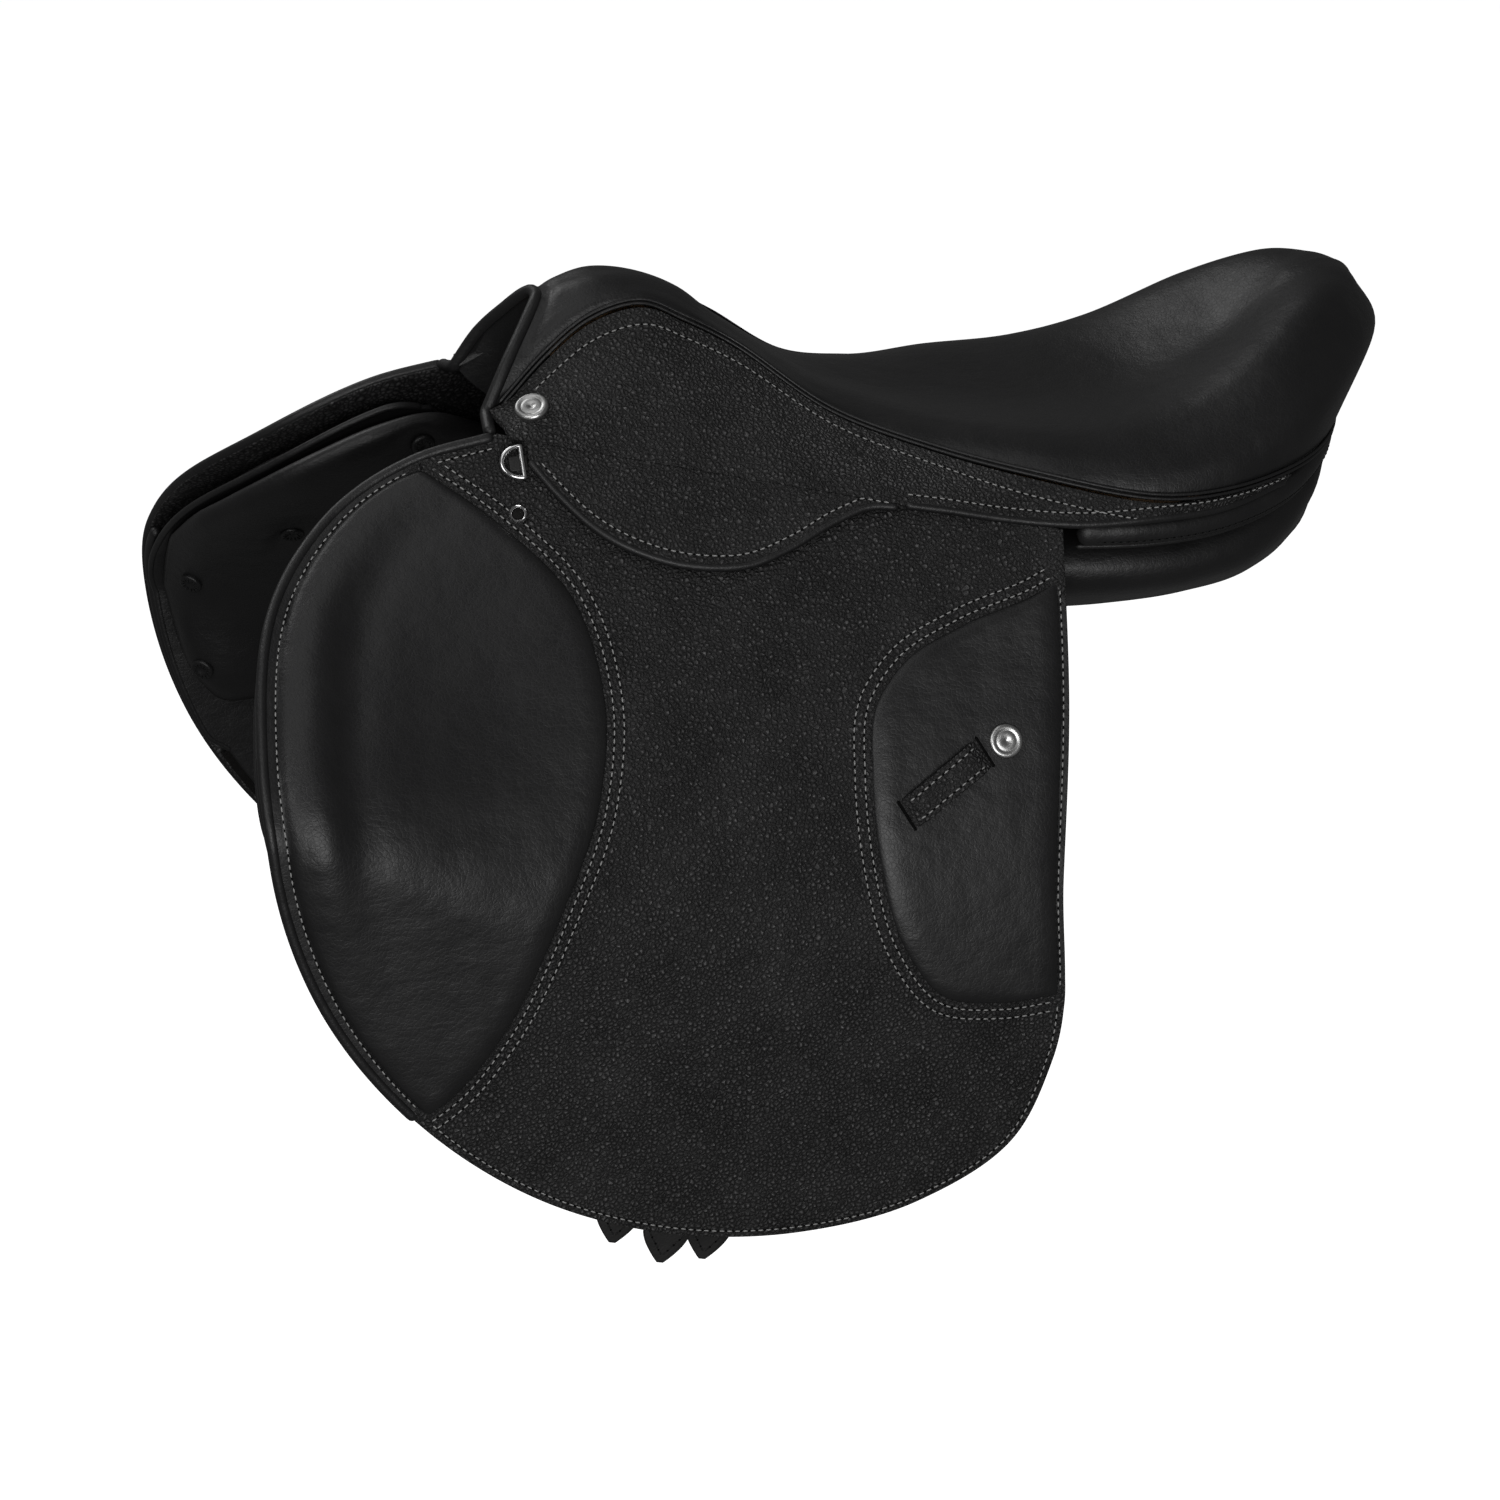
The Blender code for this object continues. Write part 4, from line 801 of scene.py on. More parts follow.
def makeSkirt():
    bothSides("skirtBand", sheetMesh, (band, bandNormals, skirt["thick"]), "hide", "saddle_frame",
              "skirt_band", rounded=())
    bothSides("skirtLobe", sheetMesh, (lobe, lobeNormals, skirt["thick"]), "hide", "skirt_lobe", "skirt",
              rounded=())
    line, normals = edgeRoll(lobe, lobeNormals)
    bothSides("lobeEdgeRoll", tubeMesh, (line, normals, skirt["rollRadius"]), "roll", "skirt_lobe")
    stripLine, stripNormals = edgeRoll(band[joinEnd + 1:], bandNormals[joinEnd + 1:])
    bothSides("stripEdgeRoll", tubeMesh, (stripLine, stripNormals, skirt["rollRadius"]), "roll",
              "saddle_frame")
    addStitches("skirt_lobe", *lineAt(lobe[6:-4, ::-1], lobeNormals[6:-4, ::-1], skirt["edgeStitch"]))
    strip, stripTurns = band[joinEnd + 2:-2, ::-1], bandNormals[joinEnd + 2:-2, ::-1]
    addStitches("saddle_frame", *lineAt(strip, stripTurns, skirt["edgeStitch"]))
    addStitches("saddle_frame", *lineAt(band[14:-2], bandNormals[14:-2], skirt["seamStitch"]))


makeSkirt()
print("skirt made")


# Flap: a backing and a grained layer, both with a notch over the stirrup bar, and the padded
# knee and calf rests sewn on in front and behind.

flap = {
    "middle": (-0.150, -0.100),
    "edge": [(-0.220, 0.1166), (-0.263, 0.108), (-0.317, 0.080), (-0.352, 0.045), (-0.366, 0.000),
             (-0.366, -0.044), (-0.345, -0.125), (-0.298, -0.196), (-0.225, -0.254), (-0.157, -0.279),
             (-0.098, -0.285), (-0.033, -0.275), (0.018, -0.245), (0.038, -0.203), (0.045, -0.106),
             (0.057, -0.015), (0.064, 0.0597)],
    "notch": [(-0.072, 0.0871), (-0.086, 0.065), (-0.103, 0.059), (-0.129, 0.060), (-0.150, 0.065),
              (-0.173, 0.076), (-0.184, 0.087), (-0.191, 0.1110)],
    "kneeSeam": [(-0.262, 0.103), (-0.226, 0.078), (-0.195, 0.045), (-0.187, 0.002), (-0.196, -0.041),
                 (-0.223, -0.094), (-0.255, -0.155), (-0.279, -0.183), (-0.298, -0.196)],
    "calfSeam": [(0.0605, 0.037), (0.046, 0.031), (0.004, 0.019), (-0.030, 0.004), (-0.047, -0.014),
                 (-0.053, -0.045), (-0.053, -0.085), (-0.042, -0.132), (-0.021, -0.160), (0.009, -0.1665),
                 (0.041, -0.1655)],
    "backing": 0.0028,        # thickness of the backing and of the grained layer on it
    "backingDepth": 0.0011,
    "grained": 0.0012,
    "seamRise": 0.0012,       # the grained leather stands up along the rests' seams
    "rollRadius": 0.0028,
    "seamStitches": (0.0036, 0.0088),   # two rows beside each seam
    "edgeStitch": 0.0036,
}


def joinedLines(*lines):
    # lines end to end, each point kept once
    return np.concatenate([lines[0], *[line[1:] for line in lines[1:]]])


def straight(first, last, count):
    return np.linspace(first, last, count)


freeEdge = alongCurve(flap["edge"], 400)
notchLine = evenly(np.array(flap["notch"], float), 60)
hingeRear = straight((0.064, 0.0597), flap["notch"][0], 30)
hingeFront = straight(flap["notch"][-1], (-0.220, 0.1166), 10)


def cutEdge(line, first, last):
    # the part of a line between the points nearest to two places
    a, b = (int(np.argmin(np.linalg.norm(line - np.array(place), axis=1))) for place in (first, last))
    return line[min(a, b):max(a, b) + 1]


def polarPlaces(outline, middle, columns, fine=0.5):
    # rows follow the closed outline, columns run from the middle out to it
    t = np.linspace(0, 1, columns)
    t = (1 - fine) * t + fine * np.sin(math.pi / 2 * t)
    return np.asarray(middle) + (outline - np.asarray(middle))[:, None] * t[None, :, None]


def rimSheet(name, outline, middle, depth, thickness, finish, side=1, columns=34):
    # a sheet on the flap that fills an outline
    return sheetMesh(name, *layer(polarPlaces(outline, middle, columns), -depth), thickness, finish, side,
                     joined=("first", "last", "start"))


def seamHeight(distance):
    # the grained leather's height beside a seam
    return flap["seamRise"] * hump(distance, 0.0, 0.0095)


def besideLine(line, distance):
    # a line on the flap at a distance beside another, with its normals
    path, normals = layer(line, 0.0)
    moved = path + unit(np.cross(np.gradient(path, axis=0), normals)) * distance
    return layer(moved[:, [0, 2]], seamHeight(abs(distance)))


def grainedSheet():
    # each point's height follows from its distance to the nearer seam
    places = polarPlaces(backingOutline, flap["middle"], 88, 0.2)
    flat = onFlap(places, 0.0).reshape(-1, 1, 3)
    seams = np.concatenate([alongCurve(flap[seam], 110) for seam in ("kneeSeam", "calfSeam")])
    apart = np.linalg.norm(flat - onFlap(seams, 0.0)[None], axis=2).min(1).reshape(places.shape[:2])
    return onFlap(places, seamHeight(apart) - 0.0001)


rest = {
    "border": 0.0078,         # flat rim with a stitch row, in front of the padding
    "kneePuff": 0.0046,
    "kneeEase": 0.016,
    "kneeRidge": 0.0030,      # the block under the front of the rest
    "ridgeFrom": 0.027,
    "ridgeWidth": 0.0115,
    "ridgeEnds": (-0.085, 0.066),
    "hollow": 0.0026,         # behind the block: depth, then place and width from the front edge
    "hollowFrom": (0.046, 0.012),
    "hollowZ": (0.006, 0.055),
    "groove": 0.0006,         # along the stitches
    "kneeStitch": 0.0070,
    "calfStitch": 0.0028,
    "calfPuff": 0.0036,
    "calfBorder": 0.0042,
}


def restPlaces(seam, edge, columns):
    # straight lines from the flap's edge to a seam, with each point's distance from both
    edge[[0, -1]] = seam[[0, -1]]
    places = ruled(edge, seam, shares(columns, 0.7))
    flat = onFlap(places, 0.0)
    return places, runAlong(flat), runBack(flat)


def kneeRest():
    # quarter circles up from the flat rim and from the seam, plus a bell-shaped ridge over the
    # block, less a bell-shaped hollow behind it and a groove along the stitches
    seam = alongCurve(flap["kneeSeam"], 190)
    front = evenly(cutEdge(freeEdge, flap["kneeSeam"][0], flap["kneeSeam"][-1]), 190)
    places, toFront, toSeam = restPlaces(seam, front, 90)
    z, ease = places[..., 1], swell(toSeam, 0.02)
    low, high = rest["ridgeEnds"]
    blocked = stepUp(z, low, 0.014) * stepUp(-z, -high, 0.012)
    puff = rest["kneePuff"] * swell(toFront - rest["border"], rest["kneeEase"]) * swell(toSeam, 0.014)
    ridge = rest["kneeRidge"] * hump(toFront, rest["ridgeFrom"], rest["ridgeWidth"]) * blocked * ease
    hollow = rest["hollow"] * hump(toFront, *rest["hollowFrom"]) * hump(z, *rest["hollowZ"]) * ease
    return onFlap(places, 0.0004 + puff + ridge - hollow - rest["groove"] * hump(toFront, 0.0085, 0.0015))


def calfRest():
    # quarter circles up from the flat rim and from the seam
    seam = alongCurve(flap["calfSeam"], 150)
    rear = evenly(cutEdge(freeEdge, flap["calfSeam"][-1], flap["calfSeam"][0])[::-1], 150)
    places, toRear, toSeam = restPlaces(seam, rear, 70)
    puff = rest["calfPuff"] * swell(toRear - rest["calfBorder"], 0.014) * swell(toSeam, 0.013)
    return onFlap(places, 0.0005 + puff)


backingOutline = joinedLines(freeEdge, hingeRear, notchLine, hingeFront)
grain, knee, calf = grainedSheet(), kneeRest(), calfRest()
grainNormals, kneeNormals, calfNormals = gridNormals(grain), gridNormals(knee), gridNormals(calf)


def makeFlap():
    bothSides("flapBacking", rimSheet,
              (backingOutline, flap["middle"], flap["backingDepth"], flap["backing"]), "coarse",
              "flap_group", "flap")
    bothSides("flapHide", sheetMesh, (grain, grainNormals, flap["grained"]), "hide", "flap_group",
              joined=("first", "last", "start"))
    bothSides("kneeRest", sheetMesh, (knee, kneeNormals, 0.0018), "pad", "flap_group", "knee_patch", 0.5,
              rounded=())
    bothSides("calfRest", sheetMesh, (calf, calfNormals, 0.0016), "pad", "flap_group", "calf_patch", 0.5,
              rounded=())
    front = tubeLine(cutEdge(freeEdge, (-0.222, 0.1163), (-0.300, -0.194)), 220, flap["rollRadius"])
    line, normals = layer(front, -0.0008)
    bothSides("flapEdgeRoll", tubeMesh, (line, normals, flap["rollRadius"]), "roll", "flap_group")

    for distance in flap["seamStitches"]:
        addStitches("flap_group", *besideLine(alongCurve(flap["kneeSeam"], 150)[3:-2], distance))
        addStitches("flap_group", *besideLine(alongCurve(flap["calfSeam"], 150)[2:-2], -distance))
    addStitches("flap_group", *lineAt(knee[4:-4], kneeNormals[4:-4], rest["kneeStitch"]))
    addStitches("flap_group", *lineAt(calf[4:-4], calfNormals[4:-4], rest["calfStitch"]))
    low = evenly(cutEdge(freeEdge, (-0.292, -0.200), (0.041, -0.172)), 200)
    addStitches("flap_group", *besideLine(low, flap["edgeStitch"]))
    top = cutEdge(freeEdge, (-0.224, 0.116), (-0.258, 0.1095))
    addStitches("flap_group", *layer(top + np.array([-0.0008, -0.0052]), 0.0002))


makeFlap()
print("flaps made")


# Under the flap: sweat flap, knee block, felt edge and the three girth straps.

under = {
    "sweatDepth": 0.0170,
    "sweatThick": 0.0030,
    "sweatTop": [(0.050, 0.044), (-0.060, 0.046), (-0.195, 0.050), (-0.226, 0.098)],
    "scale": 0.955,
    "frontScale": 0.992,      # it comes further forward above the felt
    "frontFrom": (-0.245, -0.140),
    "blockDepth": 0.0050,
    "blockThick": 0.0108,
    "sweatRoll": 0.0021,      # radius of the roll round the sweat flap's front
    "blockRoll": 0.0034,
    "blockRollDepth": 0.0090,
    "feltDepth": 0.0150,
    "feltThick": 0.0019,
    "blockOutline": [(-0.283, 0.078), (-0.313, 0.062), (-0.338, 0.030), (-0.348, -0.020), (-0.338, -0.078),
                     (-0.318, -0.080), (-0.312, -0.020), (-0.296, 0.030), (-0.272, 0.060), (-0.283, 0.078)],
}


def sweatOutline():
    # the flap's edge scaled about its middle, less so at the front above the felt
    middle = np.array(flap["middle"])
    edge = freeEdge
    x, z = under["frontFrom"]
    forward = stepUp(-edge[:, 0], -x, 0.004) * stepUp(edge[:, 1], z, 0.002)
    scale = under["scale"] + (under["frontScale"] - under["scale"]) * forward
    edge = middle + (edge - middle) * scale[:, None]
    edge = edge[(edge[:, 1] < 0.040) | (edge[:, 0] < -0.230)]
    top = np.array(under["sweatTop"], float)
    lines = [straight(a, b, 24) for a, b in zip([edge[-1], *top], [*top, edge[0]])]
    return joinedLines(edge, *lines)


def makeSweatFlap():
    # flat layers at depths under the flap, with rolls along their front edges
    outline = sweatOutline()
    bothSides("sweatFlap", rimSheet, (outline, flap["middle"], under["sweatDepth"], under["sweatThick"]),
              "panel", "saddle_frame", "sweat_flap")
    front = outline[(outline[:, 0] < -0.236) & (outline[:, 1] > -0.146)]
    roll = tubeLine(evenly(front, 160), 160, under["sweatRoll"])
    line, normals = layer(roll, -under["sweatDepth"] - 0.0012)
    bothSides("sweatFlapRoll", tubeMesh, (line, normals, under["sweatRoll"]), "roll", "saddle_frame")
    middle = np.array(flap["middle"])
    path = cutEdge(freeEdge, (-0.366, 0.004), (-0.337, -0.141))
    upper = tubeLine(middle + (path - middle) * 0.993, 160, under["blockRoll"])
    line, normals = layer(upper, -under["blockRollDepth"])
    bothSides("kneeBlockRoll", tubeMesh, (line, normals, under["blockRoll"]), "roll", "saddle_frame")
    lower = evenly(cutEdge(freeEdge, (-0.334, -0.146), (-0.205, -0.262)), 90)
    felt = ruled(middle + (lower - middle) * 0.93, middle + (lower - middle) * 0.984, np.linspace(0, 1, 10))
    feltGrid, feltNormals = layer(felt, -under["feltDepth"])
    bothSides("feltEdge", sheetMesh, (feltGrid, feltNormals, under["feltThick"]), "felt", "saddle_frame",
              slot="smooth_leather")
    loop = alongCurve(under["blockOutline"], 160)
    bothSides("kneeBlock", rimSheet, (loop, (-0.318, -0.005), under["blockDepth"], under["blockThick"]),
              "foam", "saddle_frame", "knee_block", 0.9, columns=16)


makeSweatFlap()

strap = {
    "straps": {"front_billet": (-0.112, -0.196, -0.284, 0.0110),
               "middle_billet": (-0.088, -0.172, -0.296, 0.0054),
               "rear_billet": (-0.064, -0.148, -0.300, 0.0110)},   # top x, tip x and z, depth
    "top": 0.050,
    "width": 0.0248,
    "thick": 0.0034,
    "tip": 0.017,             # length of the pointed end
    "holes": 7,
    "holePitch": 0.0250,
    "holeRadius": 0.0024,
    "firstHole": 0.042,       # from the tip
    "stitchIn": 0.0028,       # stitches from the strap's edge
}


def punchedCell(start, end, half, radius, around=32):
    # rings between a round hole in the middle of a strap's cell and the cell's square border
    angle = np.linspace(0, 2 * math.pi, around + 1)
    c, s = np.cos(angle), np.sin(angle)
    size = 1 / np.maximum(np.abs(c) * 2 / (end - start), np.abs(s) / half)
    middle = (start + end) / 2
    share = np.array([0, 0.18, 0.45, 1.0])[:, None]
    reach = radius + (size - radius) * share
    return np.stack([middle + reach * c, reach * s], -1)


def strapParts(length):
    # plain grids and punched cells that make up a strap, in distance along it and across it
    half = strap["width"] / 2
    tipStart = length - strap["tip"]
    first = length - strap["firstHole"] - (strap["holes"] - 0.5) * strap["holePitch"]
    cells = [first + k * strap["holePitch"] for k in range(strap["holes"])]
    parts = [punchedCell(a, a + strap["holePitch"], half, strap["holeRadius"]) for a in cells]
    corner = half * np.concatenate([[-1], np.tan(np.linspace(-math.pi / 4, math.pi / 4, 9))[1:-1], [1]])
    for a, b, rows in ((0, first, 40), (cells[-1] + strap["holePitch"], tipStart, 8)):
        along, across = np.meshgrid(np.linspace(a, b, rows), corner, indexing="ij")
        parts.append(np.stack([along, across], -1))
    t = np.linspace(0, 1, 14)[:, None]
    width = 1 - t ** 1.6 * 0.86
    along = np.repeat(tipStart + strap["tip"] * t, len(corner), 1)
    parts.append(np.stack([along, corner * width], -1))
    return parts


def strapLine(part):
    # top and tip, the directions along and across, and the depth under the flap
    topX, tipX, tipZ, depth = strap["straps"][part]
    top, tip = np.array([topX, strap["top"]]), np.array([tipX, tipZ])
    along = unit(tip - top)
    return top, tip, along, np.array([-along[1], along[0]]), depth


def strapMesh(name, part, finish, side=1):
    # the strap's grids laid along its line under the flap, then given thickness and soft edges
    top, tip, along, across, depth = strapLine(part)
    points, faces, count = [], [], 0
    for grid in strapParts(np.linalg.norm(tip - top)):
        places = top + grid[..., :1] * along + grid[..., 1:] * across
        points.append(onFlap(places, -depth).reshape(-1, 3))
        faces.append(gridFaces(*grid.shape[:2]) + count)
        count += len(points[-1])
    made = makeMesh(name, np.concatenate(points), np.concatenate(faces), finish, side)
    facing = np.zeros(len(made.data.polygons) * 3)
    made.data.polygons.foreach_get("normal", facing)
    if facing[1::3].sum() * side < 0:
        made.data.flip_normals()
    solid = made.modifiers.new("thickness", "SOLIDIFY")
    solid.thickness, solid.offset = strap["thick"], -1
    edge = made.modifiers.new("edge", "BEVEL")
    edge.width, edge.segments, edge.limit_method = 0.0005, 2, "ANGLE"
    edge.angle_limit = math.radians(50)
    return made


def makeStraps():
    for part in strap["straps"]:
        body = part.replace("billet", "strap")
        bothSides(part.replace("_b", "B"), strapMesh, (part,), "strap", body, part)
        top, tip, along, across, depth = strapLine(part)
        half = strap["width"] / 2 - strap["stitchIn"]
        for aside in (across * half, -across * half):
            line = [top + along * 0.006 + aside, tip - along * strap["tip"] + aside, tip - along * 0.0040]
            addStitches(body, *layer(evenly(np.array(line), 240), -depth), "black")


makeStraps()
print("under the flaps made")


# Panels: stuffed cushions under the seat that reach forward inside the flaps.

panel = {
    # x, then top, bottom and thickness of the front part
    "front": [(-0.361, 0.006, -0.040, 0.010), (-0.354, 0.026, -0.074, 0.020), (-0.340, 0.046, -0.103, 0.026),
              (-0.316, 0.069, -0.112, 0.028), (-0.290, 0.085, -0.105, 0.028), (-0.260, 0.097, -0.088, 0.028),
              (-0.230, 0.099, -0.066, 0.028), (-0.205, 0.086, -0.048, 0.028), (-0.182, 0.073, -0.036, 0.028),
              (-0.155, 0.061, -0.026, 0.028), (-0.120, 0.061, -0.016, 0.028), (-0.085, 0.061, -0.010, 0.028)],
    # x, then inner and outer top, outer half width and bottom of the cushion
    "rear": [(-0.155, 0.060, 0.055, 0.090, -0.004), (-0.120, 0.064, 0.055, 0.092, -0.003),
             (-0.085, 0.078, 0.056, 0.094, -0.001), (-0.040, 0.082, 0.056, 0.097, 0.000),
             (0.006, 0.072, 0.054, 0.100, 0.000), (0.054, 0.064, 0.046, 0.106, 0.001),
             (0.104, 0.060, 0.043, 0.113, 0.001), (0.150, 0.064, 0.044, 0.111, 0.003),
             (0.190, 0.072, 0.052, 0.098, 0.009), (0.215, 0.076, 0.060, 0.080, 0.020),
             (0.231, 0.074, 0.066, 0.062, 0.034), (0.238, 0.068, 0.064, 0.050, 0.048)],
    "frontShare": [(-0.182, 1.0), (-0.155, 0.9), (-0.120, 0.5), (-0.085, 0.0)],
    "inner": 0.0345,
    "under": 0.0232,
    "tufts": ((-0.240, 0.080), (-0.303, 0.016), (-0.333, -0.030), (-0.332, -0.071)),
    "tuftRadius": 0.0066,
    "dimple": 0.0052,
    "dimpleWidth": 0.0125,
}


def panelRing(x):
    # down the outside, round the bottom, up the inside; the front part follows the flap
    share = float(np.interp(x, *np.array(panel["frontShare"]).T))
    v = np.linspace(0, 1, 40)
    rings = []
    if share > 0:
        table = np.array(panel["front"])
        top, bottom, thick = smoothThrough(x, table[:, 0], table[:, 1:])
        z = top + (bottom - top) * (0.5 - 0.5 * np.cos(math.pi * v))
        outside = flapY(x, z) - panel["under"] / flapNormal(x, z)[..., 1]
        inside = np.maximum(outside - thick * np.sin(math.pi * v) ** 0.5, 0.030)
        rings.append((share, outside, z, inside, z, 0.003))
    if share < 1:
        table = np.array(panel["rear"])
        innerTop, outerTop, outer, base = smoothThrough(x, table[:, 0], table[:, 1:])
        rings.append((1 - share, outer - 0.010 * (2 * v - 1) ** 2, outerTop + (base + 0.012 - outerTop) * v,
                      np.full(40, panel["inner"]), innerTop + (base + 0.008 - innerTop) * v, 0.017))
    ring = np.zeros((82, 2))
    for weight, outY, outZ, inY, inZ, belly in rings:
        down, up = np.stack([outY, outZ], 1), np.stack([inY, inZ], 1)[::-1]
        low = (down[-1] + up[0]) / 2 - np.array([0, belly])
        ring += weight * np.concatenate([down, low[None], up, ((down[0] + up[-1]) / 2)[None]])
    loop = evenly(np.concatenate([ring, ring[:1]]), 97)[:-1]
    return np.concatenate([np.full((96, 1), x), loop], 1)


def panelRings():
    # corners rounded by averaging each ring's points with their neighbours
    x = np.concatenate([-0.361 + 0.021 * (np.linspace(0, 1, 12) ** 2), np.linspace(-0.336, 0.212, 130),
                        0.2385 - 0.024 * (np.linspace(1, 0, 12) ** 2)])
    rings = np.array([panelRing(each) for each in x])
    for _ in range(10):
        rings = (np.roll(rings, 1, 1) + 2 * rings + np.roll(rings, -1, 1)) / 4
    middle = rings[0].mean(0)
    first = [np.array([x, *middle[1:]]) + (rings[0] - middle) * [0, size, size]
             for x, size in ((-0.3618, 0.5), (-0.3616, 0.86))]
    return np.concatenate([np.array(first), rings])


def dimpled(rings):
    # inner face pushed in round each tuft by a bell curve
    inner = gridNormals(rings, (0, 0, 0.0001))
    outwards = rings - rings.mean(1, keepdims=True)
    inner = inner * np.sign((inner * outwards).sum(-1, keepdims=True))
    facing = np.clip(-inner[..., 1] * 1.5, 0, 1)
    for x, z in panel["tufts"]:
        apart = np.hypot(rings[..., 0] - x, rings[..., 2] - z)
        push = panel["dimple"] * hump(apart, 0, panel["dimpleWidth"]) * facing
        rings = rings + push[..., None] * np.array([0, 1, 0])
    return rings, inner


def makePanels():
    # the stuffed panels, and a button turned round the normal in each dimple
    rings, normals = dimpled(panelRings())
    bothSides("panel", loftMesh, (rings,), "panel", "saddle_frame", "panel", 0.85)
    inward = rings[normals[..., 1] < -0.25]
    turns = normals[normals[..., 1] < -0.25]
    radius = panel["tuftRadius"]
    profile = [(0, 0.0002), (0.0012, 0.0001), (0.0022, 0.0009), (0.0046, 0.0016), (0.0060, 0.0012),
               (radius, 0.0002), (radius * 0.96, -0.0012), (0, -0.0012)]
    for number, (x, z) in enumerate(panel["tufts"], 1):
        nearest = np.argmin(np.hypot(inward[:, 0] - x, inward[:, 2] - z))
        place, normal = inward[nearest] + turns[nearest] * 0.0010, turns[nearest]
        bothSides(f"panelTuft{number}", turnedMesh, (profile, place, normal), "roll", "saddle_frame",
                  f"panel_tuft_{number}", around=40)
        # twelve stitches round the button
        first, second = squareTo(normal)
        turn = np.linspace(0, 2 * math.pi, 12, endpoint=False)[:, None]
        spoke = np.cos(turn) * first + np.sin(turn) * second
        spot = np.repeat(place + normal * 0.00155 + spoke * 0.0042, 2, 0)
        row = (spot, np.repeat(spoke, 2, 0), np.repeat(normal[None], 24, 0))
        stitchLook["rows"].setdefault(("saddle_frame", "black"), []).append(row)


makePanels()
print("panels made")


# Tree, linings and rolls.

tree = {
    # x, half width of the opening, half width, height of the outer edge
    "stations": [(-0.184, 0, 0.056, 0.106), (-0.165, 0, 0.066, 0.094), (-0.140, 0, 0.071, 0.088),
                 (-0.110, 0.014, 0.072, 0.084), (-0.080, 0.024, 0.070, 0.084), (-0.040, 0.028, 0.072, 0.082),
                 (0.000, 0.032, 0.080, 0.076), (0.050, 0.038, 0.093, 0.070), (0.100, 0.040, 0.100, 0.065),
                 (0.145, 0.034, 0.098, 0.066), (0.175, 0.018, 0.090, 0.074), (0.195, 0, 0.080, 0.084),
                 (0.218, 0, 0.060, 0.100)],
    "drop": 0.0142,
    "liningDepth": 0.0130,
    "liningX": (-0.184, -0.165, -0.140, -0.100, -0.060, 0.214),
    "liningHalf": (0.046, 0.056, 0.060, 0.048, 0.031, 0.029),
}


def treeSurface(x, share):
    # height falls from the middle line to the edge as the share to the power 1.8
    stations, middle = np.array(tree["stations"]), np.array(seat["middle"])
    halfWidth, edgeZ = np.moveaxis(smoothThrough(x, stations[:, 0], stations[:, 2:]), -1, 0)
    top = np.interp(x, middle[:, 0], middle[:, 2]) - tree["drop"]
    return np.stack([x, share * halfWidth, top + (edgeZ - top) * np.abs(share) ** 1.8], -1)


def makeLinings():
    # the lining follows the tree's underside
    x = np.linspace(-0.184, 0.214, 90)
    stations = np.array(tree["stations"])
    reach = smoothThrough(x, tree["liningX"], tree["liningHalf"])
    reach = reach / smoothThrough(x, stations[:, 0], stations[:, 2])
    grid = treeSurface(np.repeat(x[:, None], 61, 1), reach[:, None] * np.linspace(-1, 1, 61))
    normals = gridNormals(grid, (0, 0, 1))
    lining = sheetMesh("gulletLining", grid - normals * tree["liningDepth"], normals, 0.0024,
                       finishes["panel"], rounded=("start", "end"))
    settle(lining, "saddle_frame", ["gullet_lining"])

    # facing inside the head: from the binding back and in under the seat's front
    t = np.linspace(-1, 1, 81)
    arch = seatSurface(np.zeros(81), t)
    low = np.clip((np.abs(t) - 0.55) / 0.45, 0, 1)[:, None]
    front = arch + np.array([-0.0060, 0, -0.0028])
    back = arch * np.array([1, 0.86, 1]) + np.array([0.018, 0, -0.013]) + low * np.array([-0.002, 0, -0.010])
    v = shares(16, 0.4)
    face = ruled(front, back, v)
    face[..., 0] -= 0.0022 * np.sin(math.pi * v)[None]
    normals = gridNormals(face, (-1, 0, 0))
    facing = sheetMesh("headFacing", face, normals, 0.0016, finishes["panel"], rounded=())
    settle(facing, "saddle_frame")


def makeRolls():
    # tubes round the pommel's arch and round the rear under the skirt
    arch = seatSurface(np.zeros(60), np.linspace(0, 1, 60)) + np.array([-0.0065, 0, -0.0015])
    foot = np.array([(-0.2225, 0.0505, 0.1185), (-0.2235, 0.0610, 0.1165)])
    half = evenly(np.concatenate([arch[:-2], alongCurve([arch[-3], arch[-1], *foot], 20)[1:]]), 90)
    line = np.concatenate([mirrored(half)[:0:-1], half])
    normals = np.repeat(np.array([[-1.0, 0, 0.1]]), len(line), 0)
    binding = tubeMesh("pommelBinding", line, normals, 0.0033, finishes["roll"])
    settle(binding, "saddle_frame", ["pommel_binding"])

    half = alongCurve([(0.074, 0.118, 0.0545), (0.112, 0.121, 0.0535), (0.158, 0.113, 0.0545),
                       (0.200, 0.094, 0.062), (0.228, 0.066, 0.0725), (0.242, 0.034, 0.079),
                       (0.247, 0, 0.081)], 140)
    half[-1, 1] = 0
    line = bothHalves(half)
    along = unit(np.gradient(line, axis=0))
    out = unit(np.cross(along, [0, 0, 1.0]))
    out = out * np.sign((out * (line - np.array([0.08, 0, 0]))).sum(1, keepdims=True))
    rear = tubeMesh("rearBand", line, out, 0.0066, finishes["roll"], flat=0.72, around=28)
    settle(rear, "saddle_frame", ["rear_roll"])
    down = unit(np.cross(along, out))
    down = down * -np.sign(down[:, 2:])
    welt = tubeMesh("rearWelt", line + down * 0.0072 - out * 0.0002, out, 0.0014, finishes["roll"], around=10)
    settle(welt, "saddle_frame")
    turned = unit(out * 0.62 + down * 0.5)
    addStitches("centre", (line + out * 0.0038 + down * 0.0040)[6:-6], turned[6:-6], "black")


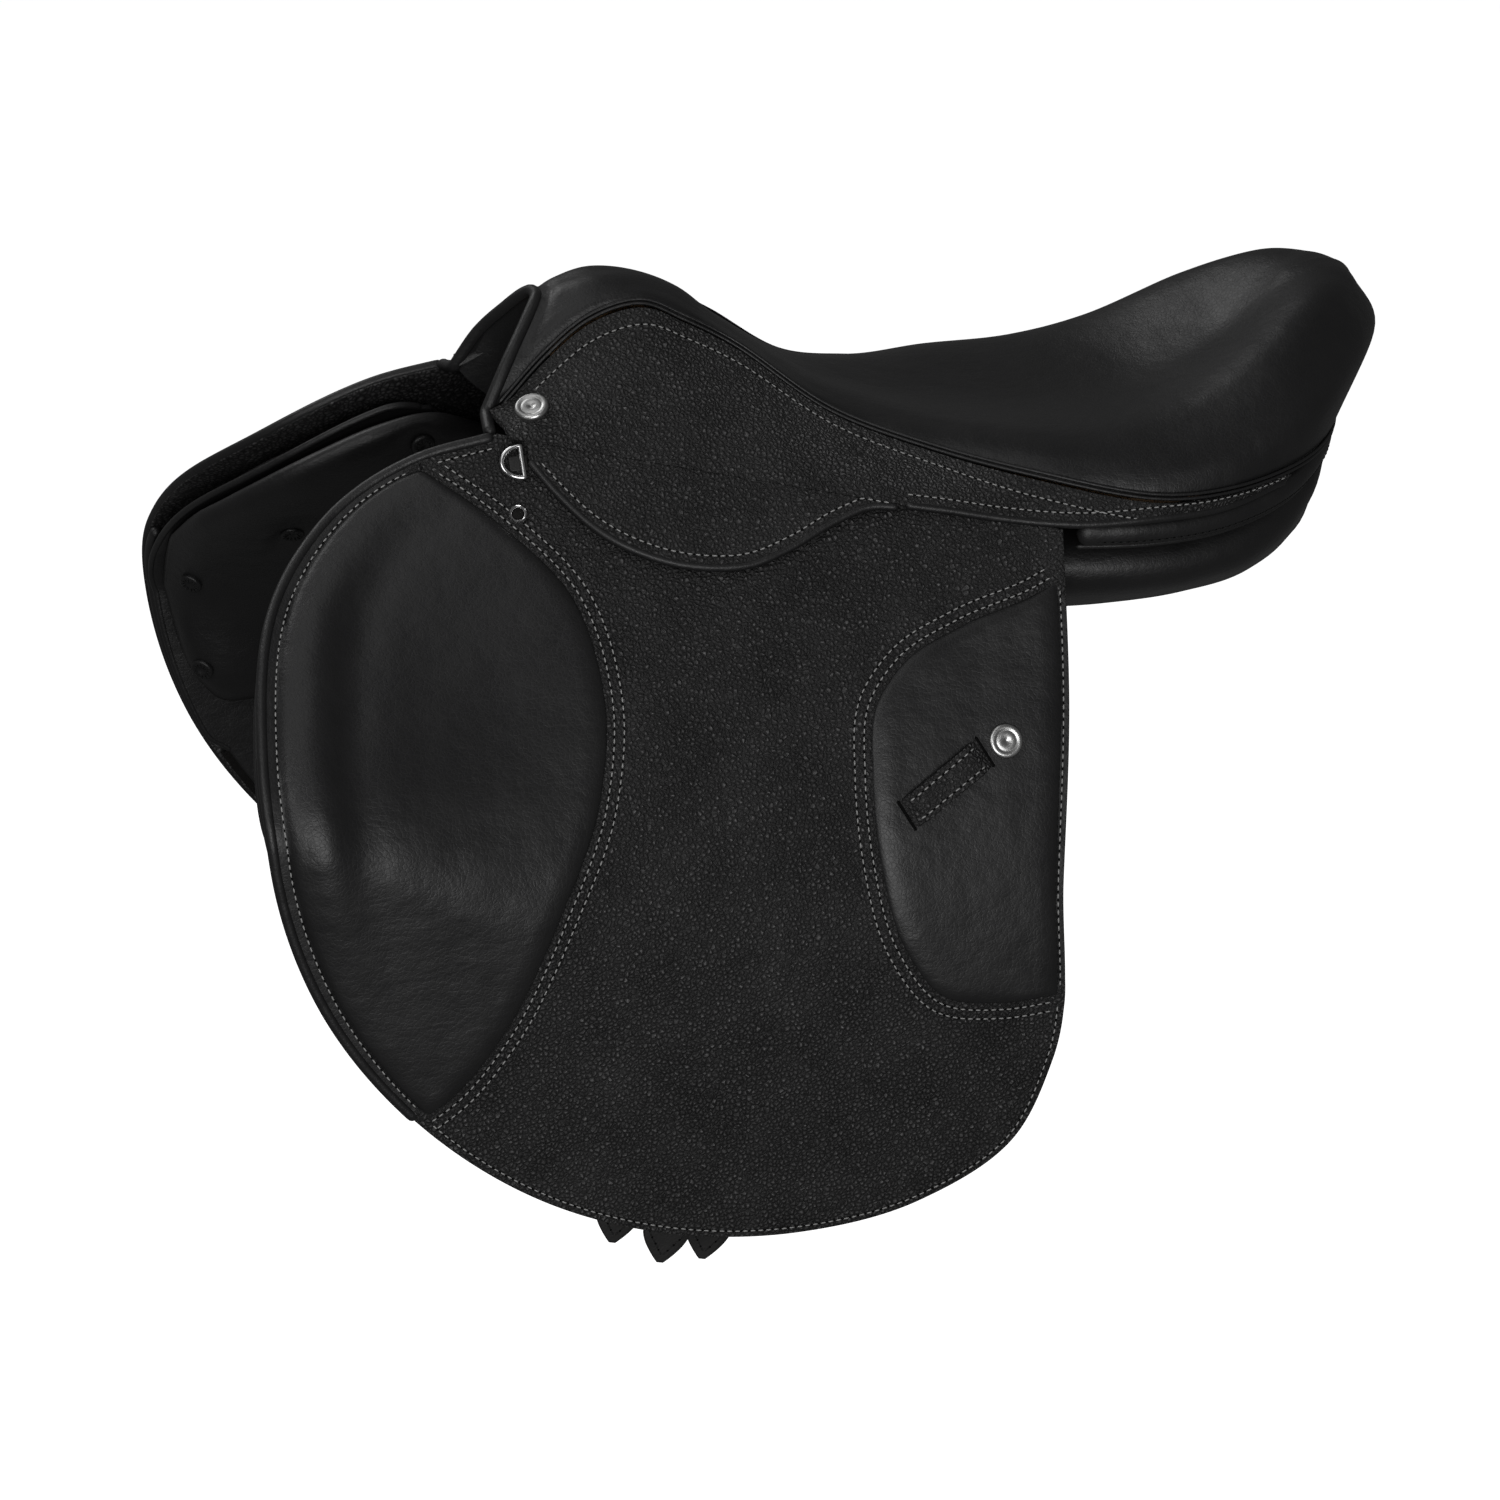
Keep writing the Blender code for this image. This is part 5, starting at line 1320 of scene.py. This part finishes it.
makeLinings()
makeRolls()
print("linings and rolls made")


# Fittings.

fitting = {
    "badge": (0.019, -0.034),
    "stud": (-0.2165, 0.082),
    "nail": (-0.2005, 0.1262),
    "radius": 0.0090,
    "dee": (-0.2105, 0.1035),
    "deeRod": 0.0013,
    "deeTall": 0.0170,
    "deeWide": 0.0105,
    "deeOut": 0.0036,
    "keeper": ((-0.037, -0.065), (0.007, -0.040)),
    "keeperWidth": 0.0142,
    "keeperRise": 0.0030,
    "keeperStitch": 0.0022,
    "keeperBase": 0.0045,     # height of its ends over the flap's surface
    "rivetsAt": (0.28, 0.72), # share of the stirrup bar's length
    "rivetY": 0.079,
    "rivetDrop": 0.024,
}


def domedDisc(radius, height):
    # a rim, a groove, a ring and a dimple in the middle
    shape = [(0, 0.62), (0.07, 0.64), (0.14, 0.80), (0.30, 0.88), (0.52, 0.93), (0.58, 0.84), (0.63, 0.84),
             (0.69, 0.97), (0.84, 1.00), (0.94, 0.86), (1.00, 0.50), (0.99, 0.0), (0.9, -0.3), (0, -0.3)]
    return [(a * radius, b * height) for a, b in shape]


def nearestOn(grid, normals, x, z):
    # the grid's point nearest to a place seen from the side, with its normal
    apart = np.hypot(grid[..., 0] - x, grid[..., 2] - z)
    at = np.unravel_index(np.argmin(apart), apart.shape)
    return grid[at], normals[at]


def makeStuds():
    place, normal = nearestOn(band, bandNormals, *fitting["nail"])
    bothSides("nailHead", turnedMesh, (domedDisc(fitting["radius"], 0.0030), place, normal), "steel",
              "saddle_frame", "nail_head")
    place, normal = nearestOn(calf, calfNormals, *fitting["badge"])
    bothSides("badge", turnedMesh, (domedDisc(fitting["radius"], 0.0024), place, normal), "steel",
              "flap_group", "badge")
    place = np.array(fitting["stud"])
    spot, normal = onFlap(place, 0.0006), flapNormal(*place)
    rim = [(0.0028, 0.0012), (0.0033, 0.0021), (0.0042, 0.0026), (0.0050, 0.0017), (0.0051, 0.0),
           (0.0028, -0.0002), (0.0028, 0.0012)]
    bothSides("smallStud", turnedMesh, (rim, spot, normal), "chrome", "flap_group", "small_stud")
    core = [(0, 0.0021), (0.0016, 0.0020), (0.0027, 0.0014), (0.0029, 0.0), (0, -0.0002)]
    bothSides("smallStudCore", turnedMesh, (core, spot, normal), "felt", "flap_group", slot="dark_foam")
    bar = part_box("off_stirrup_bar")
    for number, share in enumerate(fitting["rivetsAt"], 1):
        x = bar[0].x + (bar[1].x - bar[0].x) * share
        y = fitting["rivetY"] + hingeY(x) - hingeY(-0.135)
        rivet = np.array([x, y, hingeZ(x) - fitting["rivetDrop"]])
        profile = [(0, 0.0011), (0.0012, 0.0010), (0.0022, 0.0006), (0.0028, 0), (0.0028, -0.0004),
                   (0, -0.0004)]
        bothSides(f"barRivet{number}", turnedMesh, (profile, rivet, (0, 1, 0)), "steel", "saddle_frame",
                  around=24)


def makeDee():
    # a closed rod, straight along the flap's slope with an arc to the front, and its leather tab
    x, z = fitting["dee"]
    place = onFlap(np.array([x, z]), fitting["deeOut"])
    normal = flapNormal(x, z)
    up = unit(np.array([0.0, flapY(x, z + 0.002) - flapY(x, z - 0.002), 0.004]))
    forward = np.cross(up, normal)
    forward = forward * -np.sign(forward[0])
    angle = np.linspace(math.pi / 2, -math.pi / 2, 40)
    arc = np.stack([0.5 * np.sin(angle), np.maximum(0.12, np.cos(angle))], 1)
    outline = np.concatenate([[(-0.5, 0), (-0.25, 0), (0, 0), (0.25, 0), (0.5, 0)], arc, [(-0.5, 0)]])
    loop = place + outline[:, :1] * up * fitting["deeTall"] + outline[:, 1:] * forward * fitting["deeWide"]
    loop = evenly(loop, 90)
    bothSides("dee", tubeMesh, (loop, np.repeat(normal[None], 90, 0), fitting["deeRod"]), "chrome",
              "dee_ring", "dee", closed=True)
    a, b = np.meshgrid(np.linspace(-0.0035, 0.0035, 12), np.linspace(-0.0025, 0.0060, 12), indexing="ij")
    start = onFlap(np.array([x, z]), 0.0018)
    wrap = hump(b, 0.0, 0.0030) * 0.0002
    grid = start + a[..., None] * up + b[..., None] * forward + wrap[..., None] * normal
    normals = np.broadcast_to(normal, grid.shape)
    bothSides("deeTab", sheetMesh, (grid, normals, 0.0012), "strap", "flap_group", "dee_tab",
              rounded=("first", "last", "start", "end"))


def makeKeeper():
    # flat ends that go down into slots, with the middle raised
    start, end = np.array(fitting["keeper"])
    along = unit(end - start)
    across = np.array([-along[1], along[0]])
    share, k = np.meshgrid(np.linspace(0, 1, 70), np.linspace(-0.5, 0.5, 21), indexing="ij")
    places = start + (end - start) * share[..., None] + across * fitting["keeperWidth"] * k[..., None]
    rise = (fitting["keeperRise"] + 0.0012) * eased(np.minimum(share, 1 - share) / 0.16)
    height = fitting["keeperBase"] + rise
    grid = onFlap(places, height)
    normals = gridNormals(grid)
    bothSides("keeper", sheetMesh, (grid, normals, 0.0018), "hide", "flap_group", "keeper",
              rounded=("start", "end"))
    for step in (1, -1):
        addStitches("flap_group", *lineAt(grid[5:-5, ::step], normals[5:-5, ::step], fitting["keeperStitch"]))
    # at each end a thin near-black rod of painted shade stands for the slot the keeper goes down into
    for number, (place, away) in enumerate(((start, -1), (end, 1)), 1):
        line = place + along * away * 0.0006 + across * np.linspace(-0.0088, 0.0088, 24)[:, None]
        path, turn = layer(line, 0.00405)
        bothSides(f"keeperSlot{number}", tubeMesh, (path, turn, 0.0009), "hole", "flap_group",
                  slot="smooth_leather", around=8)


makeStuds()
makeDee()
makeKeeper()

# Stitches and needle holes: one mesh for each body and thread. The rear band's row crosses the
# middle, so it is made once.

rice, dot = riceShape(6, 6), riceShape(4, 6)
for (body, thread), rows in stitchLook["rows"].items():
    spots, alongs, turns = (np.concatenate([row[k][1::2] for row in rows]) for k in range(3))
    holeSpots, holeAlongs, holeTurns = (np.concatenate([row[k][2:-1:2] for row in rows]) for k in range(3))
    centre = body == "centre"
    for sideName, side in sides.items():
        if centre and side < 0:
            continue
        owner = body if body == "saddle_frame" else "saddle_frame" if centre else f"{sideName}_{body}"
        tag = f"{body}_{thread}" if centre else f"{sideName}_{body}_{thread}"
        sizes = (stitchLook["length"], stitchLook["width"], stitchLook["height"])
        made = scattered("stitches_" + tag, rice, sizes, spots + turns * 0.0001, alongs, turns,
                         finishes[thread + "Thread"], side)
        settle(made, owner)
        # between the stitches, dark dots of painted shade stand for the needle holes
        made = scattered("holeShades_" + tag, dot, (stitchLook["hole"], 0.0013, 0.00030), holeSpots, holeAlongs,
                         holeTurns, finishes["hole"], side)
        settle(made, owner)
print("fittings and stitches made")


# Kept nodes: shapes that are already right get their finish.

kept = {"stirrup_bar": "steel", "bar_catch": "steel", "head_plate": "steel", "tree": "wood",
        "front_girth_web": "webbing", "rear_girth_web": "webbing", "seat_web": "webbing"}
for name, node in frame["nodes"].items():
    if not node.hide_render:
        finish = kept[name.removeprefix("near_").removeprefix("off_")]
        for place in node.material_slots:
            place.material = finishes[finish]


# Set: pale floor, soft studio light, camera.

studio = {
    "aim": (-0.110, -0.150, -0.035),
    "azimuth": -15.0,
    "elevation": 22.0,
    "distance": 2.5,
    "lens": 117.3,
    "floor": -0.75,
    "world": 0.10,
    # azimuth, elevation, distance, size and watts
    "lights": {"overhead": (-60, 74, 2.2, (1.6, 1.2), 5), "key": (-50, 34, 2.4, (1.0, 1.2), 11),
               "rim": (-152, 42, 2.4, (1.3, 1.0), 11), "fill": (-8, 8, 2.6, (1.4, 1.2), 33)},
}


def direction(azimuth, elevation):
    # from the aim towards a light or camera; azimuth 0 looks along +Y, positive from the rear
    a, e = math.radians(azimuth), math.radians(elevation)
    return np.array([math.sin(a) * math.cos(e), -math.cos(a) * math.cos(e), math.sin(e)])


def aimed(place, target):
    # turn that points an object's -Z from a place to a target
    x, y, z = np.asarray(target, float) - np.asarray(place, float)
    return math.atan2(math.hypot(x, y), -z), 0.0, math.atan2(-x, y)


def addLight(name, azimuth, elevation, away, size, watts):
    # a rectangular area light that faces the aim
    data = bpy.data.lights.new(name, "AREA")
    data.shape, data.size, data.size_y = "RECTANGLE", *size
    data.energy = watts
    lamp = bpy.data.objects.new(name, data)
    target = np.array(studio["aim"])
    lamp.location = target + direction(azimuth, elevation) * away
    lamp.rotation_euler = aimed(lamp.location, target)
    bpy.context.scene.collection.objects.link(lamp)


def makeStudio():
    floorFinish = Finish("paleFloor")
    cloud = floorFinish.noise(3, 2.0)
    floorFinish.shade(colour=floorFinish.mixed(cloud, (0.90, 0.90, 0.90), (0.94, 0.94, 0.94)), roughness=0.9)
    floorFinish.shader.inputs["Emission Color"].default_value = (1, 1, 1, 1)
    floorFinish.shader.inputs["Emission Strength"].default_value = 0.9
    corners = np.array([(x, y, studio["floor"]) for x, y in ((-30, -30), (30, -30), (30, 30), (-30, 30))])
    floor = makeMesh("floor", corners, np.array([[0, 1, 2, 3]]), floorFinish.material)
    floor.visible_glossy = floor.visible_diffuse = False
    world = bpy.data.worlds.new("studio")
    world.use_nodes = True
    background = world.node_tree.nodes["Background"]
    background.inputs[0].default_value = (1, 1, 1, 1)
    background.inputs[1].default_value = studio["world"]
    bpy.context.scene.world = world
    for name, light in studio["lights"].items():
        addLight(name, *light)
    camera = bpy.data.objects.new("camera", bpy.data.cameras.new("camera"))
    camera.data.lens, camera.data.sensor_width = studio["lens"], 36.0
    aim = np.array(studio["aim"])
    camera.location = aim + direction(studio["azimuth"], studio["elevation"]) * studio["distance"]
    camera.rotation_euler = aimed(camera.location, aim)
    bpy.context.scene.collection.objects.link(camera)
    bpy.context.scene.camera = camera
    bpy.context.scene.view_settings.view_transform = "Standard"


makeStudio()
print("studio made")
